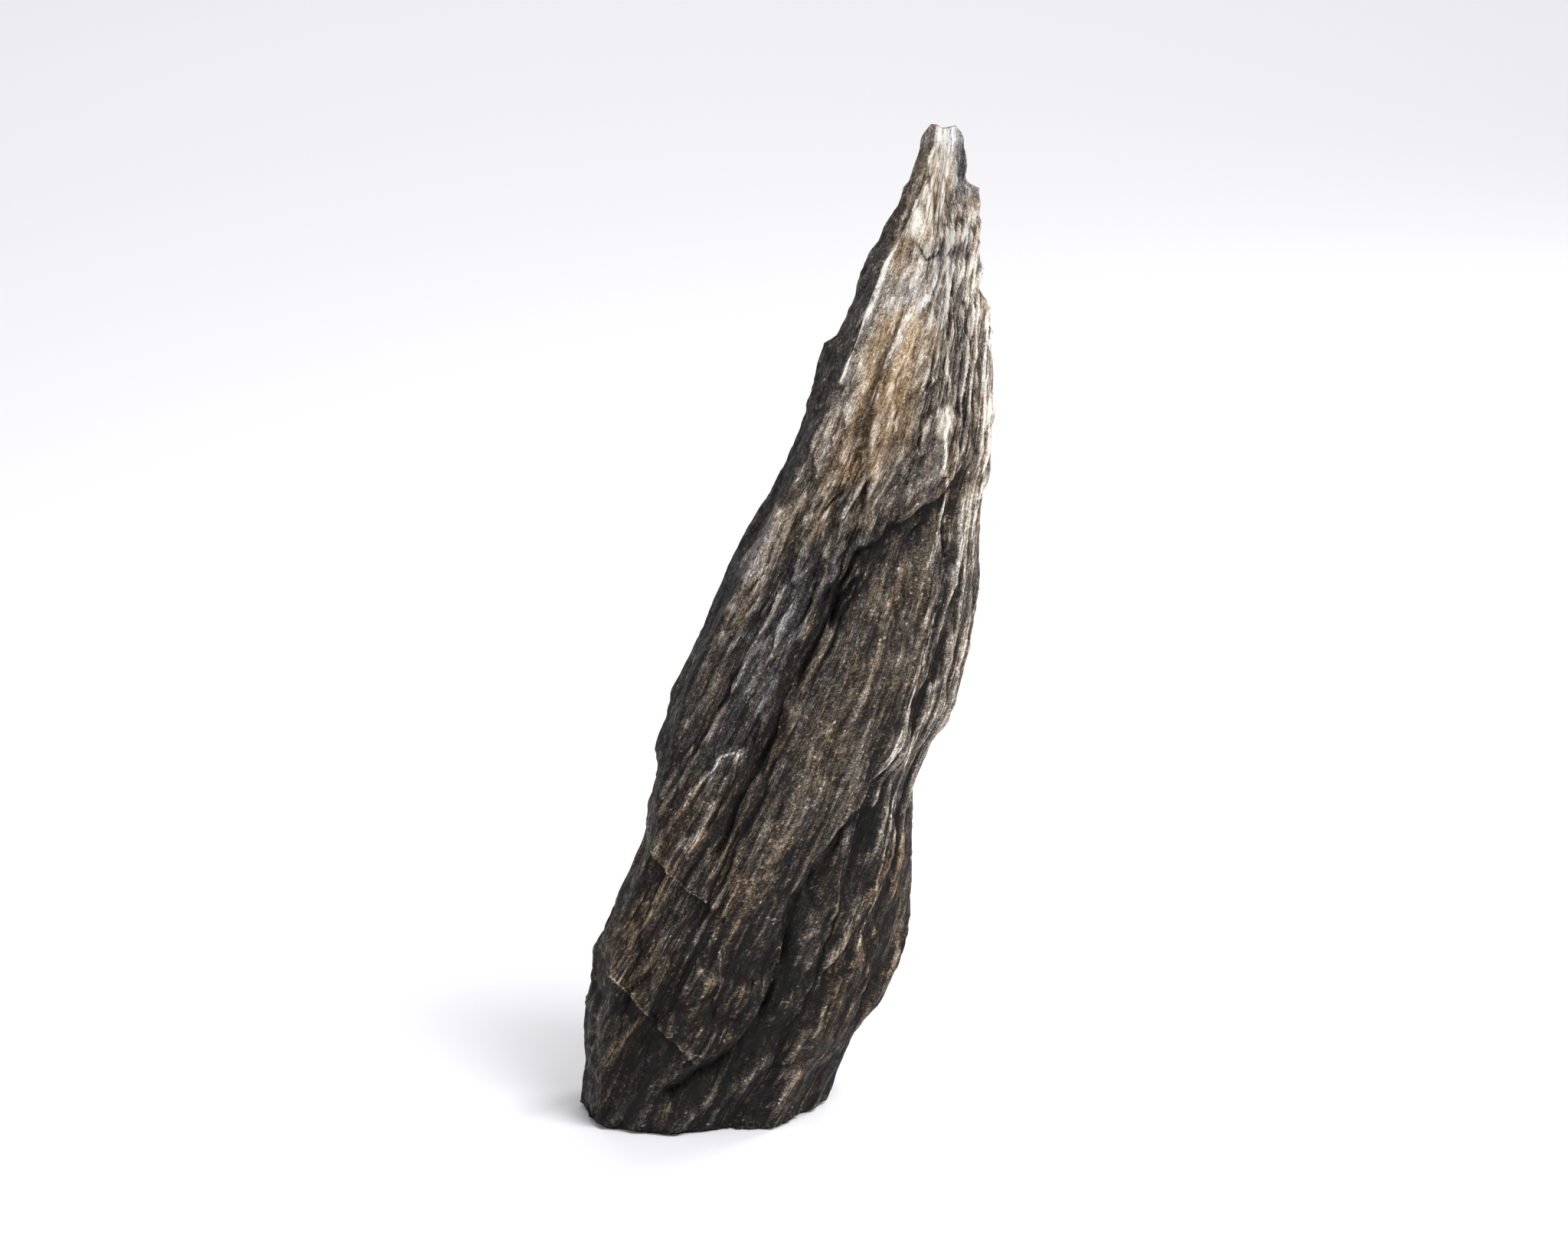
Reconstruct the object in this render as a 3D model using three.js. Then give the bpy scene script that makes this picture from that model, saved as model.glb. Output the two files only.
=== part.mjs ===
// A spire of mica schist, broken from its bed and stood on its flat broken foot.
// Millimetres, +Z up. The viewer of the front stands at -Y. The origin is the middle of the
// bounding box, on the surface that the foot rests on.
import * as THREE from "three";

// Driving dimensions of the whole stone.
const topRing = 296; // height at which the splintered tip closes
const tipHeight = 298.4; // middle of the blunt tip
const footBevel = 1.6; // height of the broken rim round the foot
const footShare = 0.94; // the flat's width as a share of the foot's
const middle = { x: -0.9, y: 0.6 }; // middle of the stone in the coordinates of the edge lists below
const rowCount = 56;

// The eight long edges of the spire, from the left edge round the front, the right and the back.
// Each is a list of [height, x, y] from the foot to the tip. "round" is the share of the faces
// beside the edge that is worn round, and "steps" the number of facets up to the next edge.
const edges = [
  {
    name: "left",
    round: 0.08,
    steps: 7,
    line: [
      [0, -63.5, -2], [16, -62.3, -2], [42, -60, -2], [57, -57, -1], [70, -51.5, 0], [83, -45, 1],
      [95, -42, 2], [106, -41.4, 2], [115, -39.8, 2], [123, -37.6, 3], [131, -35, 3], [150, -26.4, 4],
      [164, -20.3, 5], [179, -12.9, 6], [188, -7.1, 7], [208, 1.5, 8], [214, 4.6, 8], [221, 7, 8],
      [234, 9.2, 8], [237, 14.2, 7], [242, 16.8, 7], [256, 20.8, 6], [262, 23, 6], [265, 25.4, 6],
      [270, 27, 6], [276, 30.8, 5], [282, 32.6, 5], [284, 34.8, 5], [291, 36.4, 5], [300, 40, 5],
    ],
  },
  {
    name: "left front",
    round: 0.08,
    steps: 14,
    line: [
      [0, -57, -23], [30, -55, -22], [60, -51, -20], [85, -41, -18], [104, -38, -18], [119, -34.5, -19],
      [137, -30, -18], [156, -21, -17], [180, -8, -15], [198, 0.5, -14], [211, 6.5, -13],
      [222, 13, -11], [232, 17.4, -10], [247, 23.4, -8], [262, 29, -6], [286, 39, -2.5],
      [300, 43.6, -0.5],
    ],
  },
  {
    name: "front",
    round: 0.35,
    steps: 12,
    line: [
      [0, -40, -29], [40, -36, -31], [80, -24, -30], [115, -12, -27], [150, 6, -23], [180, 18, -21],
      [205, 30, -18], [240, 40, -13], [270, 42, -8], [300, 46, -0.5],
    ],
  },
  {
    name: "right front",
    round: 0.3,
    steps: 9,
    line: [
      [0, -6, -27], [25, 2, -29], [55, 14, -28], [90, 26, -24], [120, 36, -20], [155, 46, -17],
      [190, 50, -14], [216, 54, -12], [245, 54, -9], [272, 51, -6], [300, 47.5, -0.5],
    ],
  },
  {
    name: "right",
    round: 0.16,
    steps: 8,
    line: [
      [0, 11.5, -4], [10, 15.2, -4], [23, 20.6, -4], [34, 29, -4], [45, 34.3, -3], [50, 37.4, -2],
      [70, 38.9, 0], [99, 40.1, 2], [115, 44.8, 2], [119, 48.6, 2], [126, 52, 2], [142, 55.5, 3],
      [161, 57.8, 3], [184, 59.3, 4], [198, 60.6, 4], [216, 62.4, 4], [231, 62.1, 4], [246, 60.8, 4],
      [259, 58.2, 4], [273, 57.2, 4], [281.8, 57.6, 4], [283, 53.4, 4], [292, 52.8, 4], [300, 51, 4],
    ],
  },
  {
    name: "right back",
    round: 0.3,
    steps: 12,
    line: [
      [0, 16, 26], [20, 18, 27], [50, 28, 26], [90, 34, 25], [130, 44, 24], [180, 52, 21],
      [230, 56, 17], [270, 53, 12], [300, 48.5, 6],
    ],
  },
  {
    name: "back",
    round: 0.45,
    steps: 10,
    line: [
      [0, -20, 30], [30, -18, 32], [70, -12, 33], [120, 0, 31], [170, 16, 29], [220, 32, 24],
      [265, 41, 17], [300, 46, 8],
    ],
  },
  {
    name: "left back",
    round: 0.3,
    steps: 7,
    line: [
      [0, -52, 20], [40, -48, 21], [80, -38, 22], [130, -24, 23], [180, -4, 22], [230, 16, 19],
      [270, 32, 14], [300, 43.5, 7],
    ],
  },
];

// The layers of mica run up the stone as lines that lean as it leans and fan out to the right at
// mid height. "line" is where the middle layer runs, and the spreads are how far apart the layers
// lie on either side of it, each as [height, value].
const grain = {
  line: [[0, -53], [60, -26], [114, 3], [164, 28], [200, 41], [250, 53], [300, 68]],
  leftSpread: [[0, 1], [114, 1], [164, 0.95], [225, 0.88], [300, 0.8]],
  rightSpread: [[0, 1.9], [100, 1.9], [130, 1.75], [160, 1.4], [190, 1.1], [225, 0.9], [300, 0.8]],
  lean: 0.4, // how much a layer moves across for each millimetre of depth
};

// Clefts, ribs and steps that can be picked out one by one, each along a path of [x, height] in the
// front or the back view. A groove or rib has its height or depth as "size" and its width on the
// left and the right of the path, going along it. A step drops on the left of its path, and the
// face comes back over its reach.
const marks = [
  {
    name: "brow, a ledge over the hollow on the right",
    kind: "step", side: "front", size: 3.2, reach: 24,
    path: [
      [48, 198], [45, 192], [39, 190.5], [35, 186], [30, 185.5], [26, 180.5], [21, 179], [18, 172],
      [13.5, 167], [12, 158],
    ],
  },
  {
    name: "cleft that runs down from the brow",
    kind: "groove", side: "front", size: 2.8, left: 3, right: 6,
    path: [[17, 166], [10, 155], [5, 146], [0, 134], [-6, 120], [-13, 107], [-18, 97], [-24, 84]],
  },
  {
    name: "dark band along the right of the belly",
    kind: "groove", side: "front", size: 4, left: 10, right: 3.5,
    path: [
      [36, 118], [30, 107], [24, 99], [17, 91], [9, 81], [4.5, 73.5], [1.5, 64.5], [-1, 55], [-4.5, 45],
      [-8, 34], [-17, 26.5], [-26, 20], [-36, 13], [-46, 6],
    ],
  },
  {
    name: "short cleft beside the right ribs",
    kind: "groove", side: "front", size: 2.4, left: 3, right: 4.5,
    path: [[53, 172], [49, 156], [45, 144], [40, 131], [35, 118]],
  },
  {
    name: "crest of the belly",
    kind: "rib", side: "front", size: 1.6, left: 15, right: 18,
    path: [[34, 168], [26, 140], [12, 112], [-4, 82], [-14, 56], [-20, 38]],
  },
  {
    name: "crest of the lower right block",
    kind: "rib", side: "front", size: 3, left: 7, right: 9,
    path: [[36, 94], [28, 66], [18, 40], [8, 14]],
  },
  {
    name: "edge of the right ribs",
    kind: "step", side: "front", size: 1.8, reach: 10,
    path: [[48, 264], [46.5, 240], [47, 220]],
  },
  {
    name: "grey block at the tip",
    kind: "step", side: "front", size: 1.1, reach: 14,
    path: [[48.5, 302], [48, 292], [49, 285], [57, 283.5]],
  },
  {
    name: "rib inside the right edge",
    kind: "rib", side: "front", size: 1.8, left: 2.5, right: 3.5,
    path: [[55, 256], [56.5, 216], [53, 186], [48, 158], [38, 128], [28, 100]],
  },
  {
    name: "lower cross fracture",
    kind: "step", side: "front", size: 2, reach: 18,
    path: [[-31, 27], [-43, 39], [-54, 49]],
  },
  {
    name: "upper cross fracture",
    kind: "step", side: "front", size: 1.8, reach: 18,
    path: [[-21, 70], [-37, 82], [-44, 90]],
  },
  {
    name: "top end of the left slab",
    kind: "step", side: "front", size: 1.6, reach: 16,
    path: [[-30, 104], [-22, 117], [-14, 120]],
  },
  {
    name: "ledge under the crumbly tip",
    kind: "step", side: "front", size: 1.4, reach: 16,
    path: [[36, 262], [43, 271], [50, 272], [53, 276], [58, 275]],
  },
  {
    name: "cleft of the back",
    kind: "groove", side: "back", size: 5.5, left: 10, right: 4,
    path: [[36, 172], [24, 146], [8, 104], [-8, 62], [-22, 22]],
  },
  {
    name: "upper ledge of the back",
    kind: "step", side: "back", size: 5.5, reach: 34,
    path: [[2, 146], [22, 182], [46, 214]],
  },
  {
    name: "lower ledge of the back",
    kind: "step", side: "back", size: 4, reach: 26,
    path: [[-50, 62], [-34, 84], [-10, 92]],
  },
];

// No mark is as smooth as its path: the unevenness with these sizes and lengths moves it about. A
// groove or rib also grows over the taper at either end.
const raggedness = [
  { size: 1.1, length: 7, seed: 8 },
  { size: 0.5, length: 3, seed: 10 },
];
const taper = 14;

// Unevenness with no single place. The stone splits into long lenses that lie along the grain, and
// each lens stands out by its own amount. Lengths are across the layers, front to back, and along.
const lumps = [{ size: 1.2, length: 34 }, { size: 0.4, length: 13 }];
const lenses = { size: 1.5, tilt: 2.4, across: 13, deep: 26, long: 58, border: 1.4 };
const ribs = { size: 0.8, across: 8, long: 75 };

// Places of the front where this unevenness is weaker, and the share that is left in their middle.
const calmPlaces = [
  { name: "belly", keep: 0.4, width: 26, path: [[40, 176], [26, 148], [8, 108], [-10, 66]] },
  { name: "upper face", keep: 0.5, width: 22, path: [[40, 258], [32, 232], [20, 204]] },
  { name: "right ribs", keep: 0.3, width: 14, path: [[56, 262], [59, 216], [56, 170], [50, 140]] },
];
const leftSplit = { from: 92, to: 118, keep: 0.5 }; // the left face is a straight split above this
const edgeKeep = 0.4; // how much of the unevenness is left on the outermost edges

// The blunt tip: how much narrower it is than the top ring, and its heights as [offset in x, height].
const tip = {
  wide: 0.86,
  deep: 0.3,
  heights: [
    [-6, 297.9], [-4, 300.2], [-2.4, 300], [-1.2, 299], [1, 299.3], [3, 299.8], [4.4, 298.2],
    [6, 296.9],
  ],
};

// A number from -1 to 1 for a point of the whole-number lattice.
function latticeValue(i, j, k, seed) {
  let h = Math.imul(i, 374761393) ^ Math.imul(j, 668265263);
  h ^= Math.imul(k, 1442695041) ^ Math.imul(seed, 1274126177);
  h = Math.imul(h ^ (h >>> 13), 1103515245);
  h = Math.imul(h ^ (h >>> 15), 668265263);
  h ^= h >>> 16;
  return ((h >>> 0) / 4294967295) * 2 - 1;
}

// Smooth unevenness between the lattice points.
function noise(x, y, z, seed) {
  const cell = [Math.floor(x), Math.floor(y), Math.floor(z)];
  const blend = [x - cell[0], y - cell[1], z - cell[2]].map((f) => f * f * (3 - 2 * f));
  let sum = 0;
  for (const i of [0, 1])
    for (const j of [0, 1])
      for (const k of [0, 1]) {
        const share =
          (i ? blend[0] : 1 - blend[0]) * (j ? blend[1] : 1 - blend[1]) * (k ? blend[2] : 1 - blend[2]);
        sum += share * latticeValue(cell[0] + i, cell[1] + j, cell[2] + k, seed);
      }
  return sum;
}

const ease = (low, high, value) => {
  const t = Math.min(1, Math.max(0, (value - low) / (high - low)));
  return t * t * (3 - 2 * t);
};

// The values of a list of [height, ...values] at a height.
function along(list, height) {
  let i = 1;
  while (i < list.length - 1 && list[i][0] < height) i++;
  const [low, high] = [list[i - 1], list[i]];
  const t = Math.min(1, Math.max(0, (height - low[0]) / (high[0] - low[0])));
  return low.slice(1).map((value, k) => value + (high[k + 1] - value) * t);
}

// The layer that a point lies in, in millimetres across the layers.
function layerAt(x, y, z) {
  const off = x - along(grain.line, z)[0];
  const spread = along(off < 0 ? grain.leftSpread : grain.rightSpread, z)[0];
  return off / spread + grain.lean * y;
}

// Distance from (x, z) to a path, and the same with a sign, positive on the path's left.
function fromPath(path, x, z) {
  let [distance, signed] = [Infinity, 0];
  for (let i = 1; i < path.length; i++) {
    const [ax, az] = path[i - 1];
    const [dx, dz] = [path[i][0] - ax, path[i][1] - az];
    const t = Math.min(1, Math.max(0, ((x - ax) * dx + (z - az) * dz) / (dx * dx + dz * dz)));
    const d = Math.hypot(x - ax - t * dx, z - az - t * dz);
    if (d < distance) {
      const cross = dx * (z - az) - dz * (x - ax);
      distance = d;
      signed = d * Math.sign(cross);
    }
  }
  return { distance, signed };
}

// A place in the front or the back view, moved about a little.
function ragged(x, z) {
  let [movedX, movedZ] = [x, z];
  for (const { size, length, seed } of raggedness) {
    const [across, up] = [movedX / length, movedZ / length];
    movedX += size * noise(across, 0.5, up, seed);
    movedZ += size * noise(across, 0.5, up, seed + 1);
  }
  return [movedX, movedZ];
}

// How far one mark moves the face out.
function markHeight(mark, x, z) {
  const { distance, signed } = fromPath(mark.path, x, z);
  if (mark.kind === "step") {
    const drop = ease(-1.2, 1.2, signed) * Math.exp(-Math.max(0, signed) / mark.reach);
    return -mark.size * drop * endFade(mark.path, x, z, mark.reach / 2);
  }
  const width = signed > 0 ? mark.left : mark.right;
  const ends = [mark.path[0], mark.path[mark.path.length - 1]];
  const grown = ends.reduce((share, [ex, ez]) => share * ease(0, taper, Math.hypot(x - ex, z - ez)), 1);
  const bump = Math.max(0, 1 - distance / width) * grown;
  return mark.kind === "rib" ? mark.size * bump : -mark.size * bump;
}

// 1 beside the path, falling to 0 past its two ends.
function endFade(path, x, z, length) {
  const ends = [
    [path[0], path[1]],
    [path[path.length - 1], path[path.length - 2]],
  ];
  return ends.reduce((fade, [end, next]) => {
    const [dx, dz] = [end[0] - next[0], end[1] - next[1]];
    const beyond = ((x - end[0]) * dx + (z - end[1]) * dz) / Math.hypot(dx, dz);
    return fade * (1 - ease(0, length, beyond));
  }, 1);
}

// The plain outline of the stone at a height: s runs from 0 to 8, one for each edge.
function outline(s, z) {
  const corner = (k) => along(edges[(k + edges.length) % edges.length].line, z);
  const between = (k, t) => {
    const [a, b] = [corner(k), corner(k + 1)];
    return [a[0] + (b[0] - a[0]) * t, a[1] + (b[1] - a[1]) * t];
  };
  const nearest = Math.round(s);
  const { round } = edges[nearest % edges.length];
  const off = s - nearest;
  if (Math.abs(off) >= round) return between(Math.floor(s), s - Math.floor(s));
  const [from, bend, to] = [between(nearest - 1, 1 - round), corner(nearest), between(nearest, round)];
  const t = (off + round) / (2 * round);
  return [0, 1].map((k) => from[k] * (1 - t) ** 2 + 2 * bend[k] * t * (1 - t) + to[k] * t ** 2);
}

// How far the lens that a point lies in stands out. The lenses are the cells round scattered middles,
// and over a narrow border each passes into the one beside it.
function lensHeight(layer, y, z) {
  const at = [layer / lenses.across, y / lenses.deep, z / lenses.long];
  const cell = at.map(Math.floor);
  let nearest = { distance: Infinity, height: 0 };
  let beside = { distance: Infinity, height: 0 };
  for (const i of [-1, 0, 1])
    for (const j of [-1, 0, 1])
      for (const k of [-1, 0, 1]) {
        const lens = [cell[0] + i, cell[1] + j, cell[2] + k];
        const away = at.map((value, n) => value - lens[n] - 0.5 - 0.4 * latticeValue(...lens, 20 + n));
        const lean = away[0] * latticeValue(...lens, 24) + away[2] * latticeValue(...lens, 25);
        const height = lenses.size * latticeValue(...lens, 23) + lenses.tilt * lean;
        const found = { distance: Math.hypot(...away), height };
        if (found.distance < nearest.distance) [nearest, beside] = [found, nearest];
        else if (found.distance < beside.distance) beside = found;
      }
  const off = (beside.distance - nearest.distance) * lenses.across;
  return nearest.height + (beside.height - nearest.height) * 0.5 * (1 - ease(0, lenses.border, off));
}

// The share of the unevenness that is left at a point whose face looks along (nx, ny).
function calmAt(x, z, nx, ny) {
  const split = ease(0.5, 0.8, -nx) * ease(leftSplit.from, leftSplit.to, z);
  const edge = ease(0.6, 0.95, Math.abs(nx)) * (1 - split);
  const front = ease(0.05, 0.45, -ny);
  const start = (1 - (1 - edgeKeep) * edge) * (1 - (1 - leftSplit.keep) * split);
  return calmPlaces.reduce((share, { keep, width, path }) => {
    const { distance } = fromPath(path, x, z);
    return share * (1 - (1 - keep) * front * (1 - ease(0.25 * width, width, distance)));
  }, start);
}

// How far the face stands out from the plain outline at a point whose face looks along (nx, ny).
function relief(x, y, z, nx, ny) {
  const layer = layerAt(x, y, z);
  let out = lensHeight(layer, y, z);
  out += ribs.size * (1 - 2 * Math.abs(noise(layer / ribs.across, z / ribs.long, 0, 7)));
  lumps.forEach(({ size, length }, n) => {
    out += size * noise(x / length, y / length, z / length, n + 1);
  });
  out *= calmAt(x, z, nx, ny);
  const place = ragged(x, z);
  for (const mark of marks) {
    const facing = ease(0.05, 0.45, mark.side === "front" ? -ny : ny);
    if (facing > 0) out += facing * markHeight(mark, ...place);
  }
  return out * ease(-4, 22, topRing - z);
}

// A point of the finished face. Relief moves it along the ray from the middle of its ring.
function facePoint(s, z) {
  const count = edges.length;
  const reach = 0.02;
  const [x, y] = outline(s, z);
  const [ax, ay] = outline((s - reach + count) % count, z);
  const [bx, by] = outline((s + reach) % count, z);
  const length = Math.hypot(bx - ax, by - ay);
  const [nx, ny] = [(by - ay) / length, -(bx - ax) / length];
  const [cx, cy] = ringMiddle(z);
  const radius = Math.hypot(x - cx, y - cy);
  const [rx, ry] = [(x - cx) / radius, (y - cy) / radius];
  const out = relief(x, y, z, nx, ny) / Math.max(0.5, nx * rx + ny * ry);
  return [x + rx * out - middle.x, y + ry * out - middle.y, z];
}

// The middle of the edges at a height.
function ringMiddle(z) {
  const corners = edges.map(({ line }) => along(line, z));
  return [0, 1].map((k) => corners.reduce((sum, corner) => sum + corner[k], 0) / corners.length);
}

// The values of s where the facets start, round the stone.
function columns() {
  return edges.flatMap(({ steps }, k) => Array.from({ length: steps }, (_, i) => k + i / steps));
}

// Rings of points from the foot to the tip, joined by triangles, with the two ends closed.
function stoneGeometry() {
  const round = columns();
  const rings = [];
  for (let row = 0; row <= rowCount; row++) {
    const z = (topRing * row) / rowCount;
    rings.push(round.map((s) => facePoint(s, z)));
  }
  const middleOf = (ring) => [0, 1].map((k) => ring.reduce((sum, p) => sum + p[k], 0) / ring.length);
  // The foot's rim is broken off all round, so the flat that it rests on is a little smaller.
  const foot = rings[0];
  const footMiddle = middleOf(foot);
  const inwards = (value, k) => footMiddle[k] + (value - footMiddle[k]) * footShare;
  const footFlat = foot.map(([x, y]) => [inwards(x, 0), inwards(y, 1), 0]);
  foot.forEach((p) => (p[2] = footBevel));

  // The tip ends in a blunt broken edge with a few little peaks.
  const top = rings[rings.length - 1];
  const topMiddle = middleOf(top);
  const crest = top.map(([x, y]) => {
    const off = (x - topMiddle[0]) * tip.wide;
    return [topMiddle[0] + off, topMiddle[1] + (y - topMiddle[1]) * tip.deep, along(tip.heights, off)[0]];
  });

  const all = [footFlat, ...rings, crest];
  const points = [...all.flat(), [...footMiddle, 0], [...topMiddle, tipHeight]];
  const [footPoint, tipPoint] = [points.length - 2, points.length - 1];
  const around = round.length;
  const faces = [];
  for (let i = 0; i < around; i++) {
    const next = (i + 1) % around;
    for (let row = 0; row < all.length - 1; row++) {
      const [a, b] = [row * around + i, row * around + next];
      faces.push([a, b, b + around], [a, b + around, a + around]);
    }
    const last = (all.length - 1) * around;
    faces.push([footPoint, next, i], [tipPoint, last + i, last + next]);
  }
  const geometry = new THREE.BufferGeometry();
  geometry.setAttribute("position", new THREE.Float32BufferAttribute(points.flat(), 3));
  geometry.setIndex(faces.flat());
  geometry.computeVertexNormals();
  return geometry;
}

function schist() {
  return new THREE.MeshStandardMaterial({ color: 0x5f5850, roughness: 0.72, metalness: 0.05 });
}

const stone = new THREE.Mesh(stoneGeometry(), schist());
stone.name = "stone";
const part = new THREE.Group();
part.add(stone);

export default part;
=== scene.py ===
# %% [markdown]
# # A spire of mica schist
# The object is one natural stone: a tall splinter of mica schist, 300 mm high, that leans to the
# right and stands on its flat broken foot. Schist is a stack of thin mineral layers pressed
# together, so it splits lengthwise into long lenses and breaks off raggedly across them.
#
# The model that carries the sizes is loaded first.

import math

import bpy
import numpy as np
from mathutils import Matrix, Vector


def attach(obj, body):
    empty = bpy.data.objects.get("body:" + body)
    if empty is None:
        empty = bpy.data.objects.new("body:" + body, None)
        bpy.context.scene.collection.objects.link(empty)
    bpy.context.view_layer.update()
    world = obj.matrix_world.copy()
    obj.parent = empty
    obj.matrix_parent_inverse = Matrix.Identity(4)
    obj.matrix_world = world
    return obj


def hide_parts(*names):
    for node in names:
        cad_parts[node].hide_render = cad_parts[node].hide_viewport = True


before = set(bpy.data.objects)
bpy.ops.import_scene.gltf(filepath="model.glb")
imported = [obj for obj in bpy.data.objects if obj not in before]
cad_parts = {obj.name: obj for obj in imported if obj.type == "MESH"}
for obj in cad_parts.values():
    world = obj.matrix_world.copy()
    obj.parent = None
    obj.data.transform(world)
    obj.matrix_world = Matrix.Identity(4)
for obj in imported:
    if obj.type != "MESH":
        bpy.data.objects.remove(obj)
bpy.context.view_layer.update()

# %% [markdown]
# ## The long edges
# A splinter of stone is easiest to describe by the edges that run up it. Eight edges are enough,
# each a list of [height, x, y] in millimetres from the foot to the tip. A sculpted mesh could look
# as good, but a list of edges can be measured, changed and repeated. "round" is the share of the
# faces beside an edge that is worn round, and "steps" the number of faces up to the next edge.
# The viewer of the front stands at -Y.

# %% Sizes and edges
MM = 0.001  # Blender works in metres, and the sizes below are in millimetres
TOP_RING = 296  # height at which the tip closes
MIDDLE = (-0.9, 0.6)  # middle of the stone's box in the coordinates of the edge lists

EDGES = [
    {"name": "left", "round": 0.08, "steps": 34, "line": [
        [0, -63.5, -2], [16, -62.3, -2], [42, -60, -2], [57, -57, -1], [70, -51.5, 0], [83, -45, 1],
        [95, -42, 2], [106, -41.4, 2], [115, -39.8, 2], [123, -37.6, 3], [131, -35, 3],
        [150, -26.4, 4], [164, -20.3, 5], [179, -12.9, 6], [188, -7.1, 7], [208, 1.5, 8],
        [214, 4.6, 8], [221, 7, 8], [234, 9.2, 8], [237, 14.2, 7], [242, 16.8, 7], [256, 20.8, 6],
        [262, 23, 6], [265, 25.4, 6], [270, 27, 6], [276, 30.8, 5], [282, 32.6, 5], [284, 34.8, 5],
        [291, 36.4, 5], [300, 40, 5]]},
    {"name": "left front", "round": 0.08, "steps": 70, "line": [
        [0, -57, -23], [30, -55, -22], [60, -51, -20], [85, -41, -18], [104, -38, -18],
        [119, -34.5, -19], [137, -30, -18], [156, -21, -17], [180, -8, -15], [198, 0.5, -14],
        [211, 6.5, -13], [222, 13, -11], [232, 17.4, -10], [247, 23.4, -8], [262, 29, -6],
        [286, 39, -2.5], [300, 43.6, -0.5]]},
    {"name": "front", "round": 0.35, "steps": 90, "line": [
        [0, -40, -29], [40, -36, -31], [80, -24, -30], [115, -12, -27], [150, 6, -23],
        [180, 18, -21], [205, 30, -18], [240, 40, -13], [270, 42, -8], [300, 46, -0.5]]},
    {"name": "right front", "round": 0.3, "steps": 60, "line": [
        [0, -6, -27], [25, 2, -29], [55, 14, -28], [90, 26, -24], [120, 36, -20], [155, 46, -17],
        [190, 50, -14], [216, 54, -12], [245, 54, -9], [272, 51, -6], [300, 47.5, -0.5]]},
    {"name": "right", "round": 0.16, "steps": 42, "line": [
        [0, 11.5, -4], [10, 15.2, -4], [23, 20.6, -4], [34, 29, -4], [45, 34.3, -3],
        [50, 37.4, -2], [70, 38.9, 0], [99, 40.1, 2], [115, 44.8, 2], [119, 48.6, 2], [126, 52, 2],
        [142, 55.5, 3], [161, 57.8, 3], [184, 59.3, 4], [198, 60.6, 4], [216, 62.4, 4],
        [231, 62.1, 4], [246, 60.8, 4], [259, 58.2, 4], [273, 57.2, 4], [281.8, 57.6, 4],
        [283, 53.4, 4], [292, 52.8, 4], [300, 51, 4]]},
    {"name": "right back", "round": 0.3, "steps": 66, "line": [
        [0, 16, 26], [20, 18, 27], [50, 28, 26], [90, 34, 25], [130, 44, 24], [180, 52, 21],
        [230, 56, 17], [270, 53, 12], [300, 48.5, 6]]},
    {"name": "back", "round": 0.45, "steps": 44, "line": [
        [0, -20, 30], [30, -18, 32], [70, -12, 33], [120, 0, 31], [170, 16, 29], [220, 32, 24],
        [265, 41, 17], [300, 46, 8]]},
    {"name": "left back", "round": 0.3, "steps": 34, "line": [
        [0, -52, 20], [40, -48, 21], [80, -38, 22], [130, -24, 23], [180, -4, 22], [230, 16, 19],
        [270, 32, 14], [300, 43.5, 7]]},
]
EDGE_COUNT = len(EDGES)
print(EDGE_COUNT, "edges,", sum(edge["steps"] for edge in EDGES), "columns of faces")

# %% [markdown]
# ## The grain
# Every layer of mica runs up the stone as a line. The lines lean as the stone leans and fan out to
# the right at mid height. A point's "layer" is its distance across these lines. Relief and colour are
# both worked out in layers, so splinters, streaks and stains all follow the same grain, which is
# what makes the stone read as schist and not as painted clay.

# %% Grain
GRAIN = {
    "line": [[0, -53], [60, -26], [114, 3], [164, 28], [200, 41], [250, 53], [300, 68]],
    "left_spread": [[0, 1], [114, 1], [164, 0.95], [225, 0.88], [300, 0.8]],
    "right_spread": [[0, 1.9], [100, 1.9], [130, 1.75], [160, 1.4], [190, 1.1], [225, 0.9],
                     [300, 0.8]],
    "lean": 0.4,  # how much a layer moves across for each millimetre of depth
}


def along(table, height, column=1):
    """A column of a list of [height, ...values], at any heights."""
    rows = np.array(table, dtype=float)
    return np.interp(height, rows[:, 0], rows[:, column])


def spread_at(x, z):
    """How far apart the layers lie, where 1 is their distance low on the left."""
    on_left = x < along(GRAIN["line"], z)
    return np.where(on_left, along(GRAIN["left_spread"], z), along(GRAIN["right_spread"], z))


def layer_at(x, y, z):
    """The number of a point's layer: its distance across the grain, in mm."""
    return (x - along(GRAIN["line"], z)) / spread_at(x, z) + GRAIN["lean"] * y


front_at_mid_height = layer_at(np.array([-26, 55]), -18, 150)
print("layers across the front at mid height:", np.round(front_at_mid_height, 1))

# %% [markdown]
# ## Unevenness that always comes out the same
# Rock needs randomness, but a model that is built twice has to come out the same. So each random
# number is worked out from the whole-number cell that it belongs to, by mixing the bits of the
# cell's numbers. `noise` blends these numbers smoothly, `patches` gives the noise a size in
# millimetres, and `ease` is the smooth step used for every soft border below.

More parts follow.
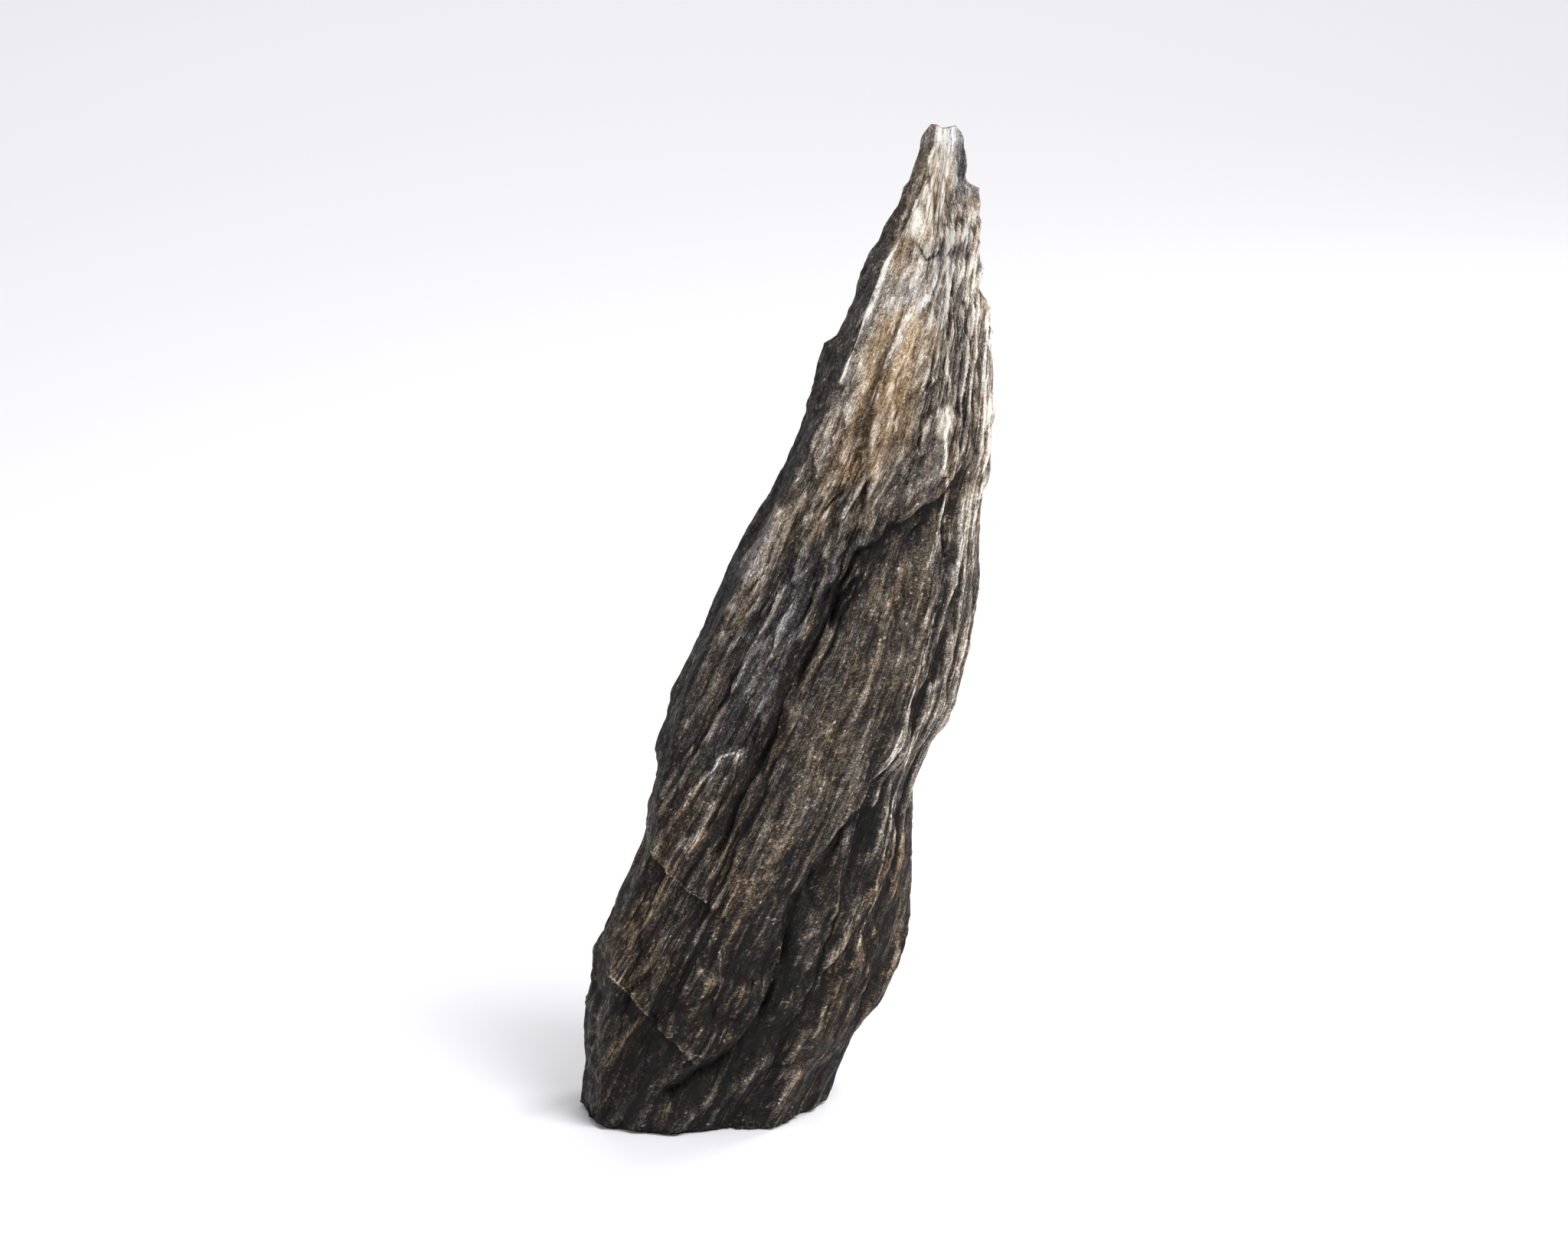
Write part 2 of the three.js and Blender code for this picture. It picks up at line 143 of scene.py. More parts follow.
# %% Random numbers from places
def lattice_value(i, j, k, seed):
    """A number from -1 to 1 for a point of the whole-number lattice."""
    i, j, k = (np.asarray(v).astype(np.int64).astype(np.uint32) for v in (i, j, k))
    h = (i * np.uint32(374761393)) ^ (j * np.uint32(668265263))
    h = h ^ (k * np.uint32(1442695041)) ^ np.uint32(seed * 1274126177 % 2**32)
    h = (h ^ (h >> np.uint32(13))) * np.uint32(1103515245)
    h = (h ^ (h >> np.uint32(15))) * np.uint32(668265263)
    h = h ^ (h >> np.uint32(16))
    return h / 4294967295 * 2 - 1


def ease(low, high, value):
    """0 below low, 1 above high and a smooth step between them."""
    t = np.clip((value - low) / (high - low), 0, 1)
    return t * t * (3 - 2 * t)


def noise(x, y, z, seed):
    """Smooth unevenness between the lattice points."""
    x, y, z = np.broadcast_arrays(x, y, z)
    cell = [np.floor(v) for v in (x, y, z)]
    blend = [ease(0, 1, v - c) for v, c in zip((x, y, z), cell)]
    total = np.zeros(x.shape)
    for i in (0, 1):
        for j in (0, 1):
            for k in (0, 1):
                share = np.ones(x.shape)
                for corner, weight in zip((i, j, k), blend):
                    share = share * (weight if corner else 1 - weight)
                total += share * lattice_value(cell[0] + i, cell[1] + j, cell[2] + k, seed)
    return total


def patches(kind, x, y, z, seed=0):
    """Noise with the width and height of a kind of patch, in mm."""
    across, up = kind["across"], kind["long"]
    return noise(x / across, y / across, z / up, kind["seed"] + seed)


print("three sample numbers:", np.round(lattice_value([1, 2, -3], [0, 5, 7], [4, -4, 9], 3), 3))

# %% [markdown]
# ## Clefts, ribs and ledges
# The features that a person would point at are placed one by one, each along a path of [x, height]
# in the front or the back view. A groove or rib has a size and a width on either side of its path.
# A step drops on the left of its path, going along it, and the face comes back over its reach.

# %% Marks
MARKS = [
    {"name": "brow, a ledge over the hollow on the right",
     "kind": "step", "side": "front", "size": 3.2, "reach": 24,
     "path": [[48, 198], [45, 192], [39, 190.5], [35, 186], [30, 185.5], [26, 180.5], [21, 179],
              [18, 172], [13.5, 167], [12, 158]]},
    {"name": "cleft that runs down from the brow",
     "kind": "groove", "side": "front", "size": 2.8, "left": 3, "right": 6,
     "path": [[17, 166], [10, 155], [5, 146], [0, 134], [-6, 120], [-13, 107], [-18, 97], [-24, 84]]},
    {"name": "dark band along the right of the belly",
     "kind": "groove", "side": "front", "size": 4, "left": 10, "right": 3.5,
     "path": [[36, 118], [30, 107], [24, 99], [17, 91], [9, 81], [4.5, 73.5], [1.5, 64.5], [-1, 55],
              [-4.5, 45], [-8, 34], [-17, 26.5], [-26, 20], [-36, 13], [-46, 6]]},
    {"name": "short cleft beside the right ribs",
     "kind": "groove", "side": "front", "size": 2.4, "left": 3, "right": 4.5,
     "path": [[53, 172], [49, 156], [45, 144], [40, 131], [35, 118]]},
    {"name": "crest of the belly",
     "kind": "rib", "side": "front", "size": 1.6, "left": 15, "right": 18,
     "path": [[34, 168], [26, 140], [12, 112], [-4, 82], [-14, 56], [-20, 38]]},
    {"name": "crest of the lower right block",
     "kind": "rib", "side": "front", "size": 3, "left": 7, "right": 9,
     "path": [[36, 94], [28, 66], [18, 40], [8, 14]]},
    {"name": "edge of the right ribs",
     "kind": "step", "side": "front", "size": 1.8, "reach": 10,
     "path": [[48, 264], [46.5, 240], [47, 220]]},
    {"name": "grey block at the tip",
     "kind": "step", "side": "front", "size": 1.1, "reach": 14,
     "path": [[48.5, 302], [48, 292], [49, 285], [57, 283.5]]},
    {"name": "rib inside the right edge",
     "kind": "rib", "side": "front", "size": 1.8, "left": 2.5, "right": 3.5,
     "path": [[55, 256], [56.5, 216], [53, 186], [48, 158], [38, 128], [28, 100]]},
    {"name": "lower cross fracture",
     "kind": "step", "side": "front", "size": 2, "reach": 18,
     "path": [[-31, 27], [-43, 39], [-54, 49]]},
    {"name": "upper cross fracture",
     "kind": "step", "side": "front", "size": 1.8, "reach": 18,
     "path": [[-21, 70], [-37, 82], [-44, 90]]},
    {"name": "top end of the left slab",
     "kind": "step", "side": "front", "size": 1.6, "reach": 16,
     "path": [[-30, 104], [-22, 117], [-14, 120]]},
    {"name": "ledge under the crumbly tip",
     "kind": "step", "side": "front", "size": 1.4, "reach": 16,
     "path": [[36, 262], [43, 271], [50, 272], [53, 276], [58, 275]]},
    {"name": "cleft of the back",
     "kind": "groove", "side": "back", "size": 5.5, "left": 10, "right": 4,
     "path": [[36, 172], [24, 146], [8, 104], [-8, 62], [-22, 22]]},
    {"name": "upper ledge of the back",
     "kind": "step", "side": "back", "size": 5.5, "reach": 34,
     "path": [[2, 146], [22, 182], [46, 214]]},
    {"name": "lower ledge of the back",
     "kind": "step", "side": "back", "size": 4, "reach": 26,
     "path": [[-50, 62], [-34, 84], [-10, 92]]},
]
print(len(MARKS), "marks placed by hand")

# %% [markdown]
# A ledge that followed its path exactly would look cut with a knife. So the place of every point is
# first moved about a little by two sizes of noise, and then the mark is worked out from there. The
# distance to the path gives a groove or a rib its slopes, and the side of the path gives a step its
# drop.

# %% How a mark shapes the face
RAGGED = [{"size": 1.1, "length": 7, "seed": 8}, {"size": 0.5, "length": 3, "seed": 10}]
TAPER = 14  # length in mm over which a groove or rib grows at either end
STEP_EDGE = 1.2  # half the width in mm over which a ledge drops


def ragged(x, z):
    """The place moved about a little, so that a mark isn't as smooth as its path."""
    for wave in RAGGED:
        across, up = x / wave["length"], z / wave["length"]
        x = x + wave["size"] * noise(across, 0.5, up, wave["seed"])
        z = z + wave["size"] * noise(across, 0.5, up, wave["seed"] + 1)
    return x, z


def from_path(path, x, z):
    """Distance from (x, z) to a path, and the same with a sign, positive on the path's left."""
    distance = np.full(x.shape, np.inf)
    signed = np.zeros(x.shape)
    for (ax, az), (bx, bz) in zip(path, path[1:]):
        dx, dz = bx - ax, bz - az
        t = np.clip(((x - ax) * dx + (z - az) * dz) / (dx * dx + dz * dz), 0, 1)
        d = np.hypot(x - ax - t * dx, z - az - t * dz)
        cross = dx * (z - az) - dz * (x - ax)
        signed = np.where(d < distance, d * np.sign(cross), signed)
        distance = np.minimum(d, distance)
    return distance, signed


def end_fade(path, x, z, length):
    """1 beside the path, falling to 0 past its two ends."""
    fade = np.ones(x.shape)
    for end, beside in ((path[0], path[1]), (path[-1], path[-2])):
        dx, dz = end[0] - beside[0], end[1] - beside[1]
        beyond = ((x - end[0]) * dx + (z - end[1]) * dz) / math.hypot(dx, dz)
        fade = fade * (1 - ease(0, length, beyond))
    return fade


def mark_height(mark, x, z):
    """How far one mark moves the face out."""
    distance, signed = from_path(mark["path"], x, z)
    if mark["kind"] == "step":
        drop = ease(-STEP_EDGE, STEP_EDGE, signed) * np.exp(-np.maximum(0, signed) / mark["reach"])
        return -mark["size"] * drop * end_fade(mark["path"], x, z, mark["reach"] / 2)
    width = np.where(signed > 0, mark["left"], mark["right"])
    bump = np.maximum(0, 1 - distance / width)
    for end_x, end_z in (mark["path"][0], mark["path"][-1]):
        bump = bump * ease(0, TAPER, np.hypot(x - end_x, z - end_z))
    return mark["size"] * bump if mark["kind"] == "rib" else -mark["size"] * bump


print("a groove or rib tapers off over", TAPER, "mm at its ends")

# %% [markdown]
# ## Lenses
# Schist splits into lenses that lie along the grain, and each lens stands out by its own amount.
# The space is filled with scattered middles, every point belongs to the nearest one, and each gets
# a random height and lean. One size of lens looks like scales, so three sizes are laid over each
# other: the 58 mm splinters that the solid has too, and lenses of 19 and 7.5 mm that only this
# stone has. Where two small lenses meet, some of the joints have opened to a narrow crack.

# %% Lenses
COARSE_LENS = {"size": 1.5, "tilt": 2.4, "across": 13, "deep": 26, "long": 58, "seed": 20}
FINE_LENSES = [
    {"size": 0.5, "tilt": 1.5, "across": 5.5, "deep": 9, "long": 19, "seed": 30,
     "crack": 0.5, "crack_width": 0.7},
    {"size": 0.3, "tilt": 0.9, "across": 2.6, "deep": 4.5, "long": 7.5, "seed": 40,
     "crack": 0.3, "crack_width": 0.5},
]
SCATTER = 0.4  # how far a lens's middle may lie from the middle of its cell, as a share of it
BORDER = 1.4  # width in mm over which one lens passes into the next


def lens_field(lens, layer, y, z):
    """How far the lens that a point lies in stands out, and how far off its border is, in mm."""
    at = [layer / lens["across"], y / lens["deep"], z / lens["long"]]
    cell = [np.floor(v) for v in at]
    nearest, second = np.full((2, *layer.shape), np.inf)
    height, beside = np.zeros((2, *layer.shape))
    for i in (-1, 0, 1):
        for j in (-1, 0, 1):
            for k in (-1, 0, 1):
                place = (cell[0] + i, cell[1] + j, cell[2] + k)
                away = [v - p - 0.5 - SCATTER * lattice_value(*place, lens["seed"] + n)
                        for n, (v, p) in enumerate(zip(at, place))]
                distance = np.sqrt(sum(a * a for a in away))
                lean = away[0] * lattice_value(*place, lens["seed"] + 4)
                lean = lean + away[2] * lattice_value(*place, lens["seed"] + 5)
                own = lens["size"] * lattice_value(*place, lens["seed"] + 3) + lens["tilt"] * lean
                closer = distance < nearest
                runner_up = ~closer & (distance < second)
                beside = np.where(closer, height, np.where(runner_up, own, beside))
                second = np.where(closer, nearest, np.where(runner_up, distance, second))
                height = np.where(closer, own, height)
                nearest = np.where(closer, distance, nearest)
    border = (second - nearest) * lens["across"]
    return height + (beside - height) * 0.5 * (1 - ease(0, BORDER, border)), border


print("lenses across the grain, mm:", [lens["across"] for lens in [COARSE_LENS] + FINE_LENSES])

# %% [markdown]
# ## The plain outline
# At every height the eight edges give a plain ring. A number s from 0 to 8 says where on the ring a
# point lies, with edge 0 at s = 0, and beside each edge the ring is rounded off by a short curve.
# Each point also gets the way that its face looks and the ray that it lies on, from the middle of
# its ring outwards.

# %% Rings
def edge_corners(z):
    """Where the eight edges are at some heights: an array of edge, height, (x, y)."""
    return np.array([np.stack([along(edge["line"], z, 1), along(edge["line"], z, 2)], -1)
                     for edge in EDGES])


def outline(s, corners):
    """The plain outline at one place s, for every height."""
    def between(k, t):
        return corners[k % EDGE_COUNT] * (1 - t) + corners[(k + 1) % EDGE_COUNT] * t

    near = math.floor(s + 0.5)
    worn = EDGES[near % EDGE_COUNT]["round"]
    off = s - near
    if abs(off) >= worn:
        return between(math.floor(s), s - math.floor(s))
    start, bend, end = between(near - 1, 1 - worn), corners[near % EDGE_COUNT], between(near, worn)
    t = (off + worn) / (2 * worn)
    return start * (1 - t) ** 2 + 2 * bend * t * (1 - t) + end * t**2


ROW_COUNT = 222  # rows of faces from the foot to the tip
heights = TOP_RING * np.arange(ROW_COUNT + 1) / ROW_COUNT
corners = edge_corners(heights)
places = [k + i / edge["steps"] for k, edge in enumerate(EDGES) for i in range(edge["steps"])]
plain = np.stack([outline(s, corners) for s in places], 1)
NEXT = 0.02  # step along the ring between the two points that give its direction
ahead = np.stack([outline((s + NEXT) % EDGE_COUNT, corners) for s in places], 1)
behind = np.stack([outline((s - NEXT) % EDGE_COUNT, corners) for s in places], 1)
tangent = (ahead - behind) / np.linalg.norm(ahead - behind, axis=-1, keepdims=True)
facing = np.stack([tangent[..., 1], -tangent[..., 0]], -1)
ring_middle = corners.mean(0)[:, None, :]
ray = (plain - ring_middle) / np.linalg.norm(plain - ring_middle, axis=-1, keepdims=True)
print("rings x columns:", plain.shape[:2])

# %% [markdown]
# ## Where the stone is calm and where it is streaky
# The relief is a distance outwards for every point of the plain outline, but it isn't the same all
# over. The belly is worn smooth, the right flank splits into sharp ribs and the left face is one
# clean split. Soft strokes along paths say where, much as a painter would mask a face. A noise for
# the whole stone would be less work, but then no part of it could be told from another.

# %% Strokes
VIEW_BORDER = (0.05, 0.45)  # how squarely a face has to look forward to be counted as the front
CORE = 0.25  # share of its width over which a stroke is full
TIP_FADE = {"coarse": (-4, 22), "fine": (-3, 7), "ribs": (0, 34)}  # from none to full, mm below the top

x, y = plain[..., 0], plain[..., 1]
z = np.broadcast_to(heights[:, None], x.shape)
below_top = TOP_RING - z
layer = layer_at(x, y, z)
front_view = ease(*VIEW_BORDER, -facing[..., 1])
back_view = ease(*VIEW_BORDER, facing[..., 1])


def stroke(path, width, view=None):
    """1 along a path, falling softly to 0 at its width."""
    distance, _ = from_path(path, x, z)
    return (1 - ease(CORE * width, width, distance)) * (front_view if view is None else view)


print("share of the points that face the viewer:", round(float(front_view.mean()), 2))

# %% [markdown]
# A calm place keeps only a share of the relief. The left face above mid height is one straight
# split, the outermost edges are kept near the outline of the real stone, and the rest are strokes.

# %% Calm places
LEFT_SPLIT = {"heights": (92, 118), "facing": (0.5, 0.8), "keep": 0.5}
OUTER_EDGES = {"facing": (0.6, 0.95), "keep": 0.4}
CALM_PLACES = [
    {"name": "belly", "keep": 0.4, "width": 26, "path": [[40, 176], [26, 148], [8, 108], [-10, 66]]},
    {"name": "upper face", "keep": 0.5, "width": 22, "path": [[40, 258], [32, 232], [20, 204]]},
    {"name": "right ribs", "keep": 0.3, "width": 14,
     "path": [[56, 262], [59, 216], [56, 170], [50, 140]]},
]
left_split = ease(*LEFT_SPLIT["facing"], -facing[..., 0]) * ease(*LEFT_SPLIT["heights"], z)
outermost = ease(*OUTER_EDGES["facing"], np.abs(facing[..., 0]))
calm = 1 - (1 - OUTER_EDGES["keep"]) * outermost * (1 - left_split)
calm = calm * (1 - (1 - LEFT_SPLIT["keep"]) * left_split)
for place in CALM_PLACES:
    calm = calm * (1 - (1 - place["keep"]) * stroke(place["path"], place["width"]))
print("mean calm share:", round(float(calm.mean()), 2))

# %% [markdown]
# A streaky place has sharp ribs and long streaks, where the layers are cut edge-on. That is so on
# the right flank above all, on the back and low down, and less so on the smooth upper face.

# %% Streaky places
RIB_ZONE = {"path": [[54, 266], [57, 216], [55, 176], [49, 140], [38, 112], [30, 94]], "width": 14,
            "facing": (-1.1, 0.6)}
STREAKY = {"everywhere": 0.3, "back": 0.3, "low": 0.4, "high": -0.15, "stroke": 0.4}
STREAKY_BORDERS = {"back": (0, 0.5),  # how squarely a face looks back
                   "low": (50, 130), "high": (170, 215)}  # heights
STREAKY_STROKES = [
    {"what": "lower right block", "path": [[36, 88], [22, 46], [8, 12]], "width": 18},
    {"what": "left of the cleft", "path": [[10, 196], [-8, 160], [-26, 118]], "width": 14},
    {"what": "left slabs", "path": [[-32, 96], [-44, 60], [-52, 20]], "width": 16},
    {"what": "foot of the belly", "path": [[-14, 70], [-26, 40], [-36, 14]], "width": 14},
    {"what": "belly", "path": [[36, 160], [22, 124], [2, 84]], "width": 16},
]
rib_view = ease(*RIB_ZONE["facing"], -facing[..., 1])
rib_zone = stroke(RIB_ZONE["path"], RIB_ZONE["width"], rib_view) * ease(*TIP_FADE["ribs"], below_top)
on_back = ease(*STREAKY_BORDERS["back"], facing[..., 1])
streaky = STREAKY["everywhere"] + STREAKY["back"] * on_back + rib_zone
streaky = streaky + STREAKY["low"] * (1 - ease(*STREAKY_BORDERS["low"], z))
streaky = streaky + STREAKY["high"] * ease(*STREAKY_BORDERS["high"], z)
for item in STREAKY_STROKES:
    streaky = streaky + STREAKY["stroke"] * stroke(item["path"], item["width"])
streaky = np.clip(streaky, 0, 1)
print("mean streaky share:", round(float(streaky.mean()), 2))

# %% [markdown]
# ## The coarse relief
# This repeats the solid's own relief, so that every large form is where the solid has it: long
# lenses, broad ribs along the grain, rounded lumps, and the marks. It fades out at the tip.

# %% Coarse relief
LUMPS = [{"size": 1.2, "across": 34, "long": 34, "seed": 1},
         {"size": 0.4, "across": 13, "long": 13, "seed": 2}]
RIBS = {"size": 0.8, "across": 8, "long": 75}


def coarse_relief():
    """How far the large forms stand out, in mm."""
    out, _ = lens_field(COARSE_LENS, layer, y, z)
    out += RIBS["size"] * (1 - 2 * np.abs(noise(layer / RIBS["across"], z / RIBS["long"], 0, 7)))
    for lump in LUMPS:
        out += lump["size"] * patches(lump, x, y, z)
    out = out * calm
    for mark in MARKS:
        view = front_view if mark["side"] == "front" else back_view
        out += view * mark_height(mark, *ragged(x, z))
    return out * ease(*TIP_FADE["coarse"], below_top)


coarse = coarse_relief()
print("coarse relief, mm:", np.round([coarse.min(), coarse.max()], 1))

# %% [markdown]
# ## The fine layers
# Near at hand the layers aren't as even as the coarse grain: they wave, and on the upper face they
# lean further to the right than the ribs beside them do. All that is finer than the solid follows
# these fine layers, the streaks of the material too.

# %% Fine layers
UPPER_SLANT = {"shift": [[190, 0], [262, 14], [300, 12]], "left": 40, "right": 56}
WAVES = [{"size": 1.3, "across": 21, "long": 34, "seed": 61},
         {"size": 0.5, "across": 8, "long": 15, "seed": 62}]


def wavy(layer, x, y, z):
    """The layers with the slant of the upper face and the small waves."""
    on_face = 1 - ease(UPPER_SLANT["left"], UPPER_SLANT["right"], x)
    layer = layer - along(UPPER_SLANT["shift"], z) * on_face
    for wave in WAVES:
        layer = layer + wave["size"] / spread_at(x, z) * patches(wave, x, y, z)
    return layer


fine_layer = wavy(layer, x, y, z)
print("layers moved by up to", round(float(np.abs(fine_layer - layer).max()), 1), "mm")

# %% [markdown]
# ## Cracks drawn one by one
# Some joints have opened to cracks that a person would point at: under the brow, along the cleft
# and the dark band, between the ribs. Each is a path with a depth and a width. The signed distance
# to the nearest one is kept, because it cuts the crack into the face here and later darkens it
# with painted shade.

# %% Cracks
CRACK_LINES = [
    {"what": "under the brow", "deep": 1.7, "width": 1.6, "path": [
        [48, 197], [45, 191], [39, 189], [35, 184.5], [30, 184], [26, 179], [21, 177.5], [18, 171],
        [13.5, 165], [12, 156]]},
    {"what": "above the brow", "deep": 0.9, "width": 1.1, "path": [
        [46, 199], [41, 195], [34, 193.5], [28, 188], [21, 185], [15, 176]]},
    {"what": "below the brow", "deep": 0.8, "width": 1, "path": [
        [44, 186], [36, 179], [30, 177], [22, 169], [17, 160]]},
    {"what": "across the brow", "deep": 1.1, "width": 1.1, "path": [
        [22, 190], [17, 180], [15, 171], [10, 163]]},
    {"what": "cleft", "deep": 1.6, "width": 1.5, "path": [
        [21, 169], [13, 161], [6.5, 148], [2, 136], [-3, 126], [-7, 118], [-11, 110], [-15, 103],
        [-22, 88]]},
    {"what": "beside the cleft, left", "deep": 0.9, "width": 1.2, "path": [
        [8, 168], [0, 150], [-8, 132], [-17, 116], [-22, 104]]},
    {"what": "beside the cleft, right", "deep": 0.9, "width": 1.2, "path": [
        [16, 158], [9, 141], [2, 126], [-6, 110], [-14, 92], [-20, 76]]},
    {"what": "far left", "deep": 0.7, "width": 1.2, "path": [
        [-6, 168], [-18, 142], [-30, 116], [-36, 100]]},
    {"what": "band", "deep": 1.4, "width": 1.6, "path": [
        [36, 118], [27, 102], [18, 90], [9, 79], [4, 68], [0, 55], [-6, 40], [-17, 26], [-36, 13]]},
    {"what": "right of the band", "deep": 0.9, "width": 1.2, "path": [
        [26, 92], [18, 70], [8, 46], [-2, 24], [-8, 8]]},
    {"what": "block, middle", "deep": 0.9, "width": 1.2, "path": [
        [33, 86], [24, 58], [14, 34], [6, 12]]},
    {"what": "belly's left", "deep": 0.7, "width": 1.1, "path": [
        [-14, 96], [-24, 72], [-34, 44], [-40, 20]]},
    {"what": "left slabs", "deep": 0.8, "width": 1.2, "path": [
        [-30, 96], [-40, 74], [-48, 46], [-50, 24]]},
    {"what": "inside the ribs", "deep": 1.3, "width": 1.4, "path": [
        [50, 258], [51, 236], [51, 210], [50, 188], [47, 166], [42, 146], [35, 126]]},
    {"what": "between the ribs", "deep": 1.1, "width": 1.2, "path": [
        [54, 250], [55.5, 222], [55, 196], [53, 172], [49, 150], [43, 132]]},
    {"what": "left of the step", "deep": 0.7, "width": 1.2, "path": [
        [43, 250], [42, 230], [38, 208], [34, 196]]},
    {"what": "under the nodule", "deep": 0.9, "width": 1.2, "path": [[37, 267], [40, 262], [44, 264]]},
    {"what": "upper face", "deep": 0.6, "width": 1.1, "path": [
        [28, 234], [22, 214], [14, 196], [6, 182]]},
]
WOBBLE = {"size": 0.7, "across": 5, "long": 9, "seed": 64}  # how the lines wander, in mm
CRACK_BREAKS = {"border": (-0.55, 0.1), "across": 6, "long": 12, "seed": 65}  # where they stop


def nearest_line(lines, x, z):
    """Signed distance to the nearest of some lines, and that line's place in the list."""
    side = np.full(x.shape, np.inf)
    nearest = np.zeros(x.shape, dtype=int)
    for number, line in enumerate(lines):
        distance, signed = from_path(line["path"], x, z)
        nearest = np.where(distance < np.abs(side), number, nearest)
        side = np.where(distance < np.abs(side), signed, side)
    return side, nearest


def values_of(lines, key, nearest):
    """One of the lines' numbers, for every point that of its nearest line."""
    return np.array([line[key] for line in lines])[nearest]


wobble = WOBBLE["size"] * patches(WOBBLE, x, y, z)
crack_side, nearest_crack = nearest_line(CRACK_LINES, *ragged(x + wobble, z))
crack_strength = ease(*CRACK_BREAKS["border"], patches(CRACK_BREAKS, x, y, z)) * front_view
crack_depth = values_of(CRACK_LINES, "deep", nearest_crack) * crack_strength * np.clip(
    1 - np.abs(crack_side) / values_of(CRACK_LINES, "width", nearest_crack), 0, 1)
print(len(CRACK_LINES), "cracks, up to", round(float(crack_depth.max()), 1), "mm deep")

# %% [markdown]
# ## The fine relief
# The fine part adds the smaller lenses, the joints between them, sharp ribs where the stone is
# streaky, and the cracks. It mostly takes rock away, so the finished stone stays inside the solid's
# box.

# %% Fine relief
SCALY = {"path": [[44, 268], [34, 242], [22, 212], [4, 184], [-10, 158]], "width": 22, "more": 1.1}
FINE_RIBS = [
    {"size": 0.1, "streaky": 0.55, "in_zone": 0.6, "across": 3.2, "long": 110, "seed": 63},
    {"size": 0.05, "streaky": 0.25, "in_zone": 0.6, "across": 1.3, "long": 60, "seed": 66},
]
OPEN_JOINTS = {"border": (0, 0.5), "across": 15, "long": 20, "seed": 7}  # where joints have opened
SINK = {"lens": 0.4, "rib": 0.6}  # how far they lie below the coarse face, as a share of their size
LEAST_KEPT = 0.45  # share of the small lenses that is left in the calmest place
RIB_WAVE = 0.3  # share of the layers' waves that the ribs follow
ALL_OVER = 0.3  # what is taken away everywhere, in mm


def fine_relief():
    """How far the small forms stand out, in mm, and where the joints between them are open."""
    out = np.zeros(x.shape)
    joints = np.zeros(x.shape)
    kept = LEAST_KEPT + (1 - LEAST_KEPT) * calm
    scales = 1 + SCALY["more"] * stroke(SCALY["path"], SCALY["width"])
    for lens in FINE_LENSES:
        height, border = lens_field(lens, fine_layer, y, z)
        open_here = ease(*OPEN_JOINTS["border"], patches(OPEN_JOINTS, x, y, z, lens["seed"]))
        joint = (1 - ease(0, lens["crack_width"], border)) * open_here
        out += scales * (height - SINK["lens"] * lens["size"] - lens["crack"] * joint)
        joints = np.maximum(joints, joint)
    out = out * kept
    for ribs in FINE_RIBS:
        straighter = (layer + RIB_WAVE * (fine_layer - layer)) / ribs["across"]
        rib_crest = 1 - 2 * np.abs(noise(straighter, z / ribs["long"], 0, ribs["seed"]))
        size = ribs["size"] + ribs["streaky"] * streaky + ribs["in_zone"] * rib_zone
        out += size * (rib_crest - SINK["rib"])
    out = out - ALL_OVER - crack_depth
    return out * ease(*TIP_FADE["fine"], below_top), joints * kept


fine, joints = fine_relief()
print("fine relief, mm:", np.round([fine.min(), fine.max()], 1))

# %% [markdown]
# Each point now moves along the ray from the middle of its ring. Rays from one middle never cross,
# so the mesh can't fold, which it could if the points moved straight out of their faces.

# %% The finished face
relief = coarse + fine
LEAST_SLANT = 0.5  # where a ray meets its face at a low angle, the point isn't thrown further
slant = np.maximum(LEAST_SLANT, (facing * ray).sum(-1))
face = plain + ray * (relief / slant)[..., None]
skin = face - np.array(MIDDLE)
print("the face lies", np.round(np.hypot(*np.moveaxis(face - plain, -1, 0)).max(), 1),
      "mm off the plain outline at most")

# %% [markdown]
# ## The closed mesh
# The rings are stacked into one skin. The foot is closed by a flat with a broken rim, which is what
# the stone rests on, and the tip by a blunt broken edge. Edges sharper than 40 degrees stay sharp,
# as fresh breaks do, and the rest is shaded smooth.

# %% Mesh
FOOT = {"bevel": 1.6, "flat": 0.94}  # height of the broken rim, and the flat's share of the ring
CREST = {"wide": 0.86, "deep": 0.3, "middle": 298.4, "sunk": 0.1, "heights": [
    [-6, 297.9], [-4, 300.2], [-2.4, 300], [-1.2, 299], [1, 299.3], [3, 299.8], [4.4, 298.2],
    [6, 296.9]]}
SHARP = 40  # degrees; an edge between two faces that is sharper than this stays sharp


def crest(ring):
    """The top ring drawn in to a blunt broken edge."""
    middle = ring.mean(0)
    off = (ring[:, 0] - middle[0]) * CREST["wide"]
    top = along(CREST["heights"], off) - CREST["sunk"]
    back = (ring[:, 1] - middle[1]) * CREST["deep"]
    return np.column_stack([middle[0] + off, middle[1] + back, top])


rings = np.concatenate([skin, z[..., None]], -1)
foot_middle = rings[0, :, :2].mean(0)
foot_flat = np.column_stack([foot_middle + (rings[0, :, :2] - foot_middle) * FOOT["flat"],
                             np.zeros(rings.shape[1])])
rings[0, :, 2] = FOOT["bevel"]
levels = np.concatenate([foot_flat[None], rings, crest(rings[-1])[None]])
level_count, around = levels.shape[:2]
tip_middle = rings[-1, :, :2].mean(0)
closing = [[*foot_middle, 0], [*tip_middle, CREST["middle"]]]
points = np.concatenate([levels.reshape(-1, 3), closing])

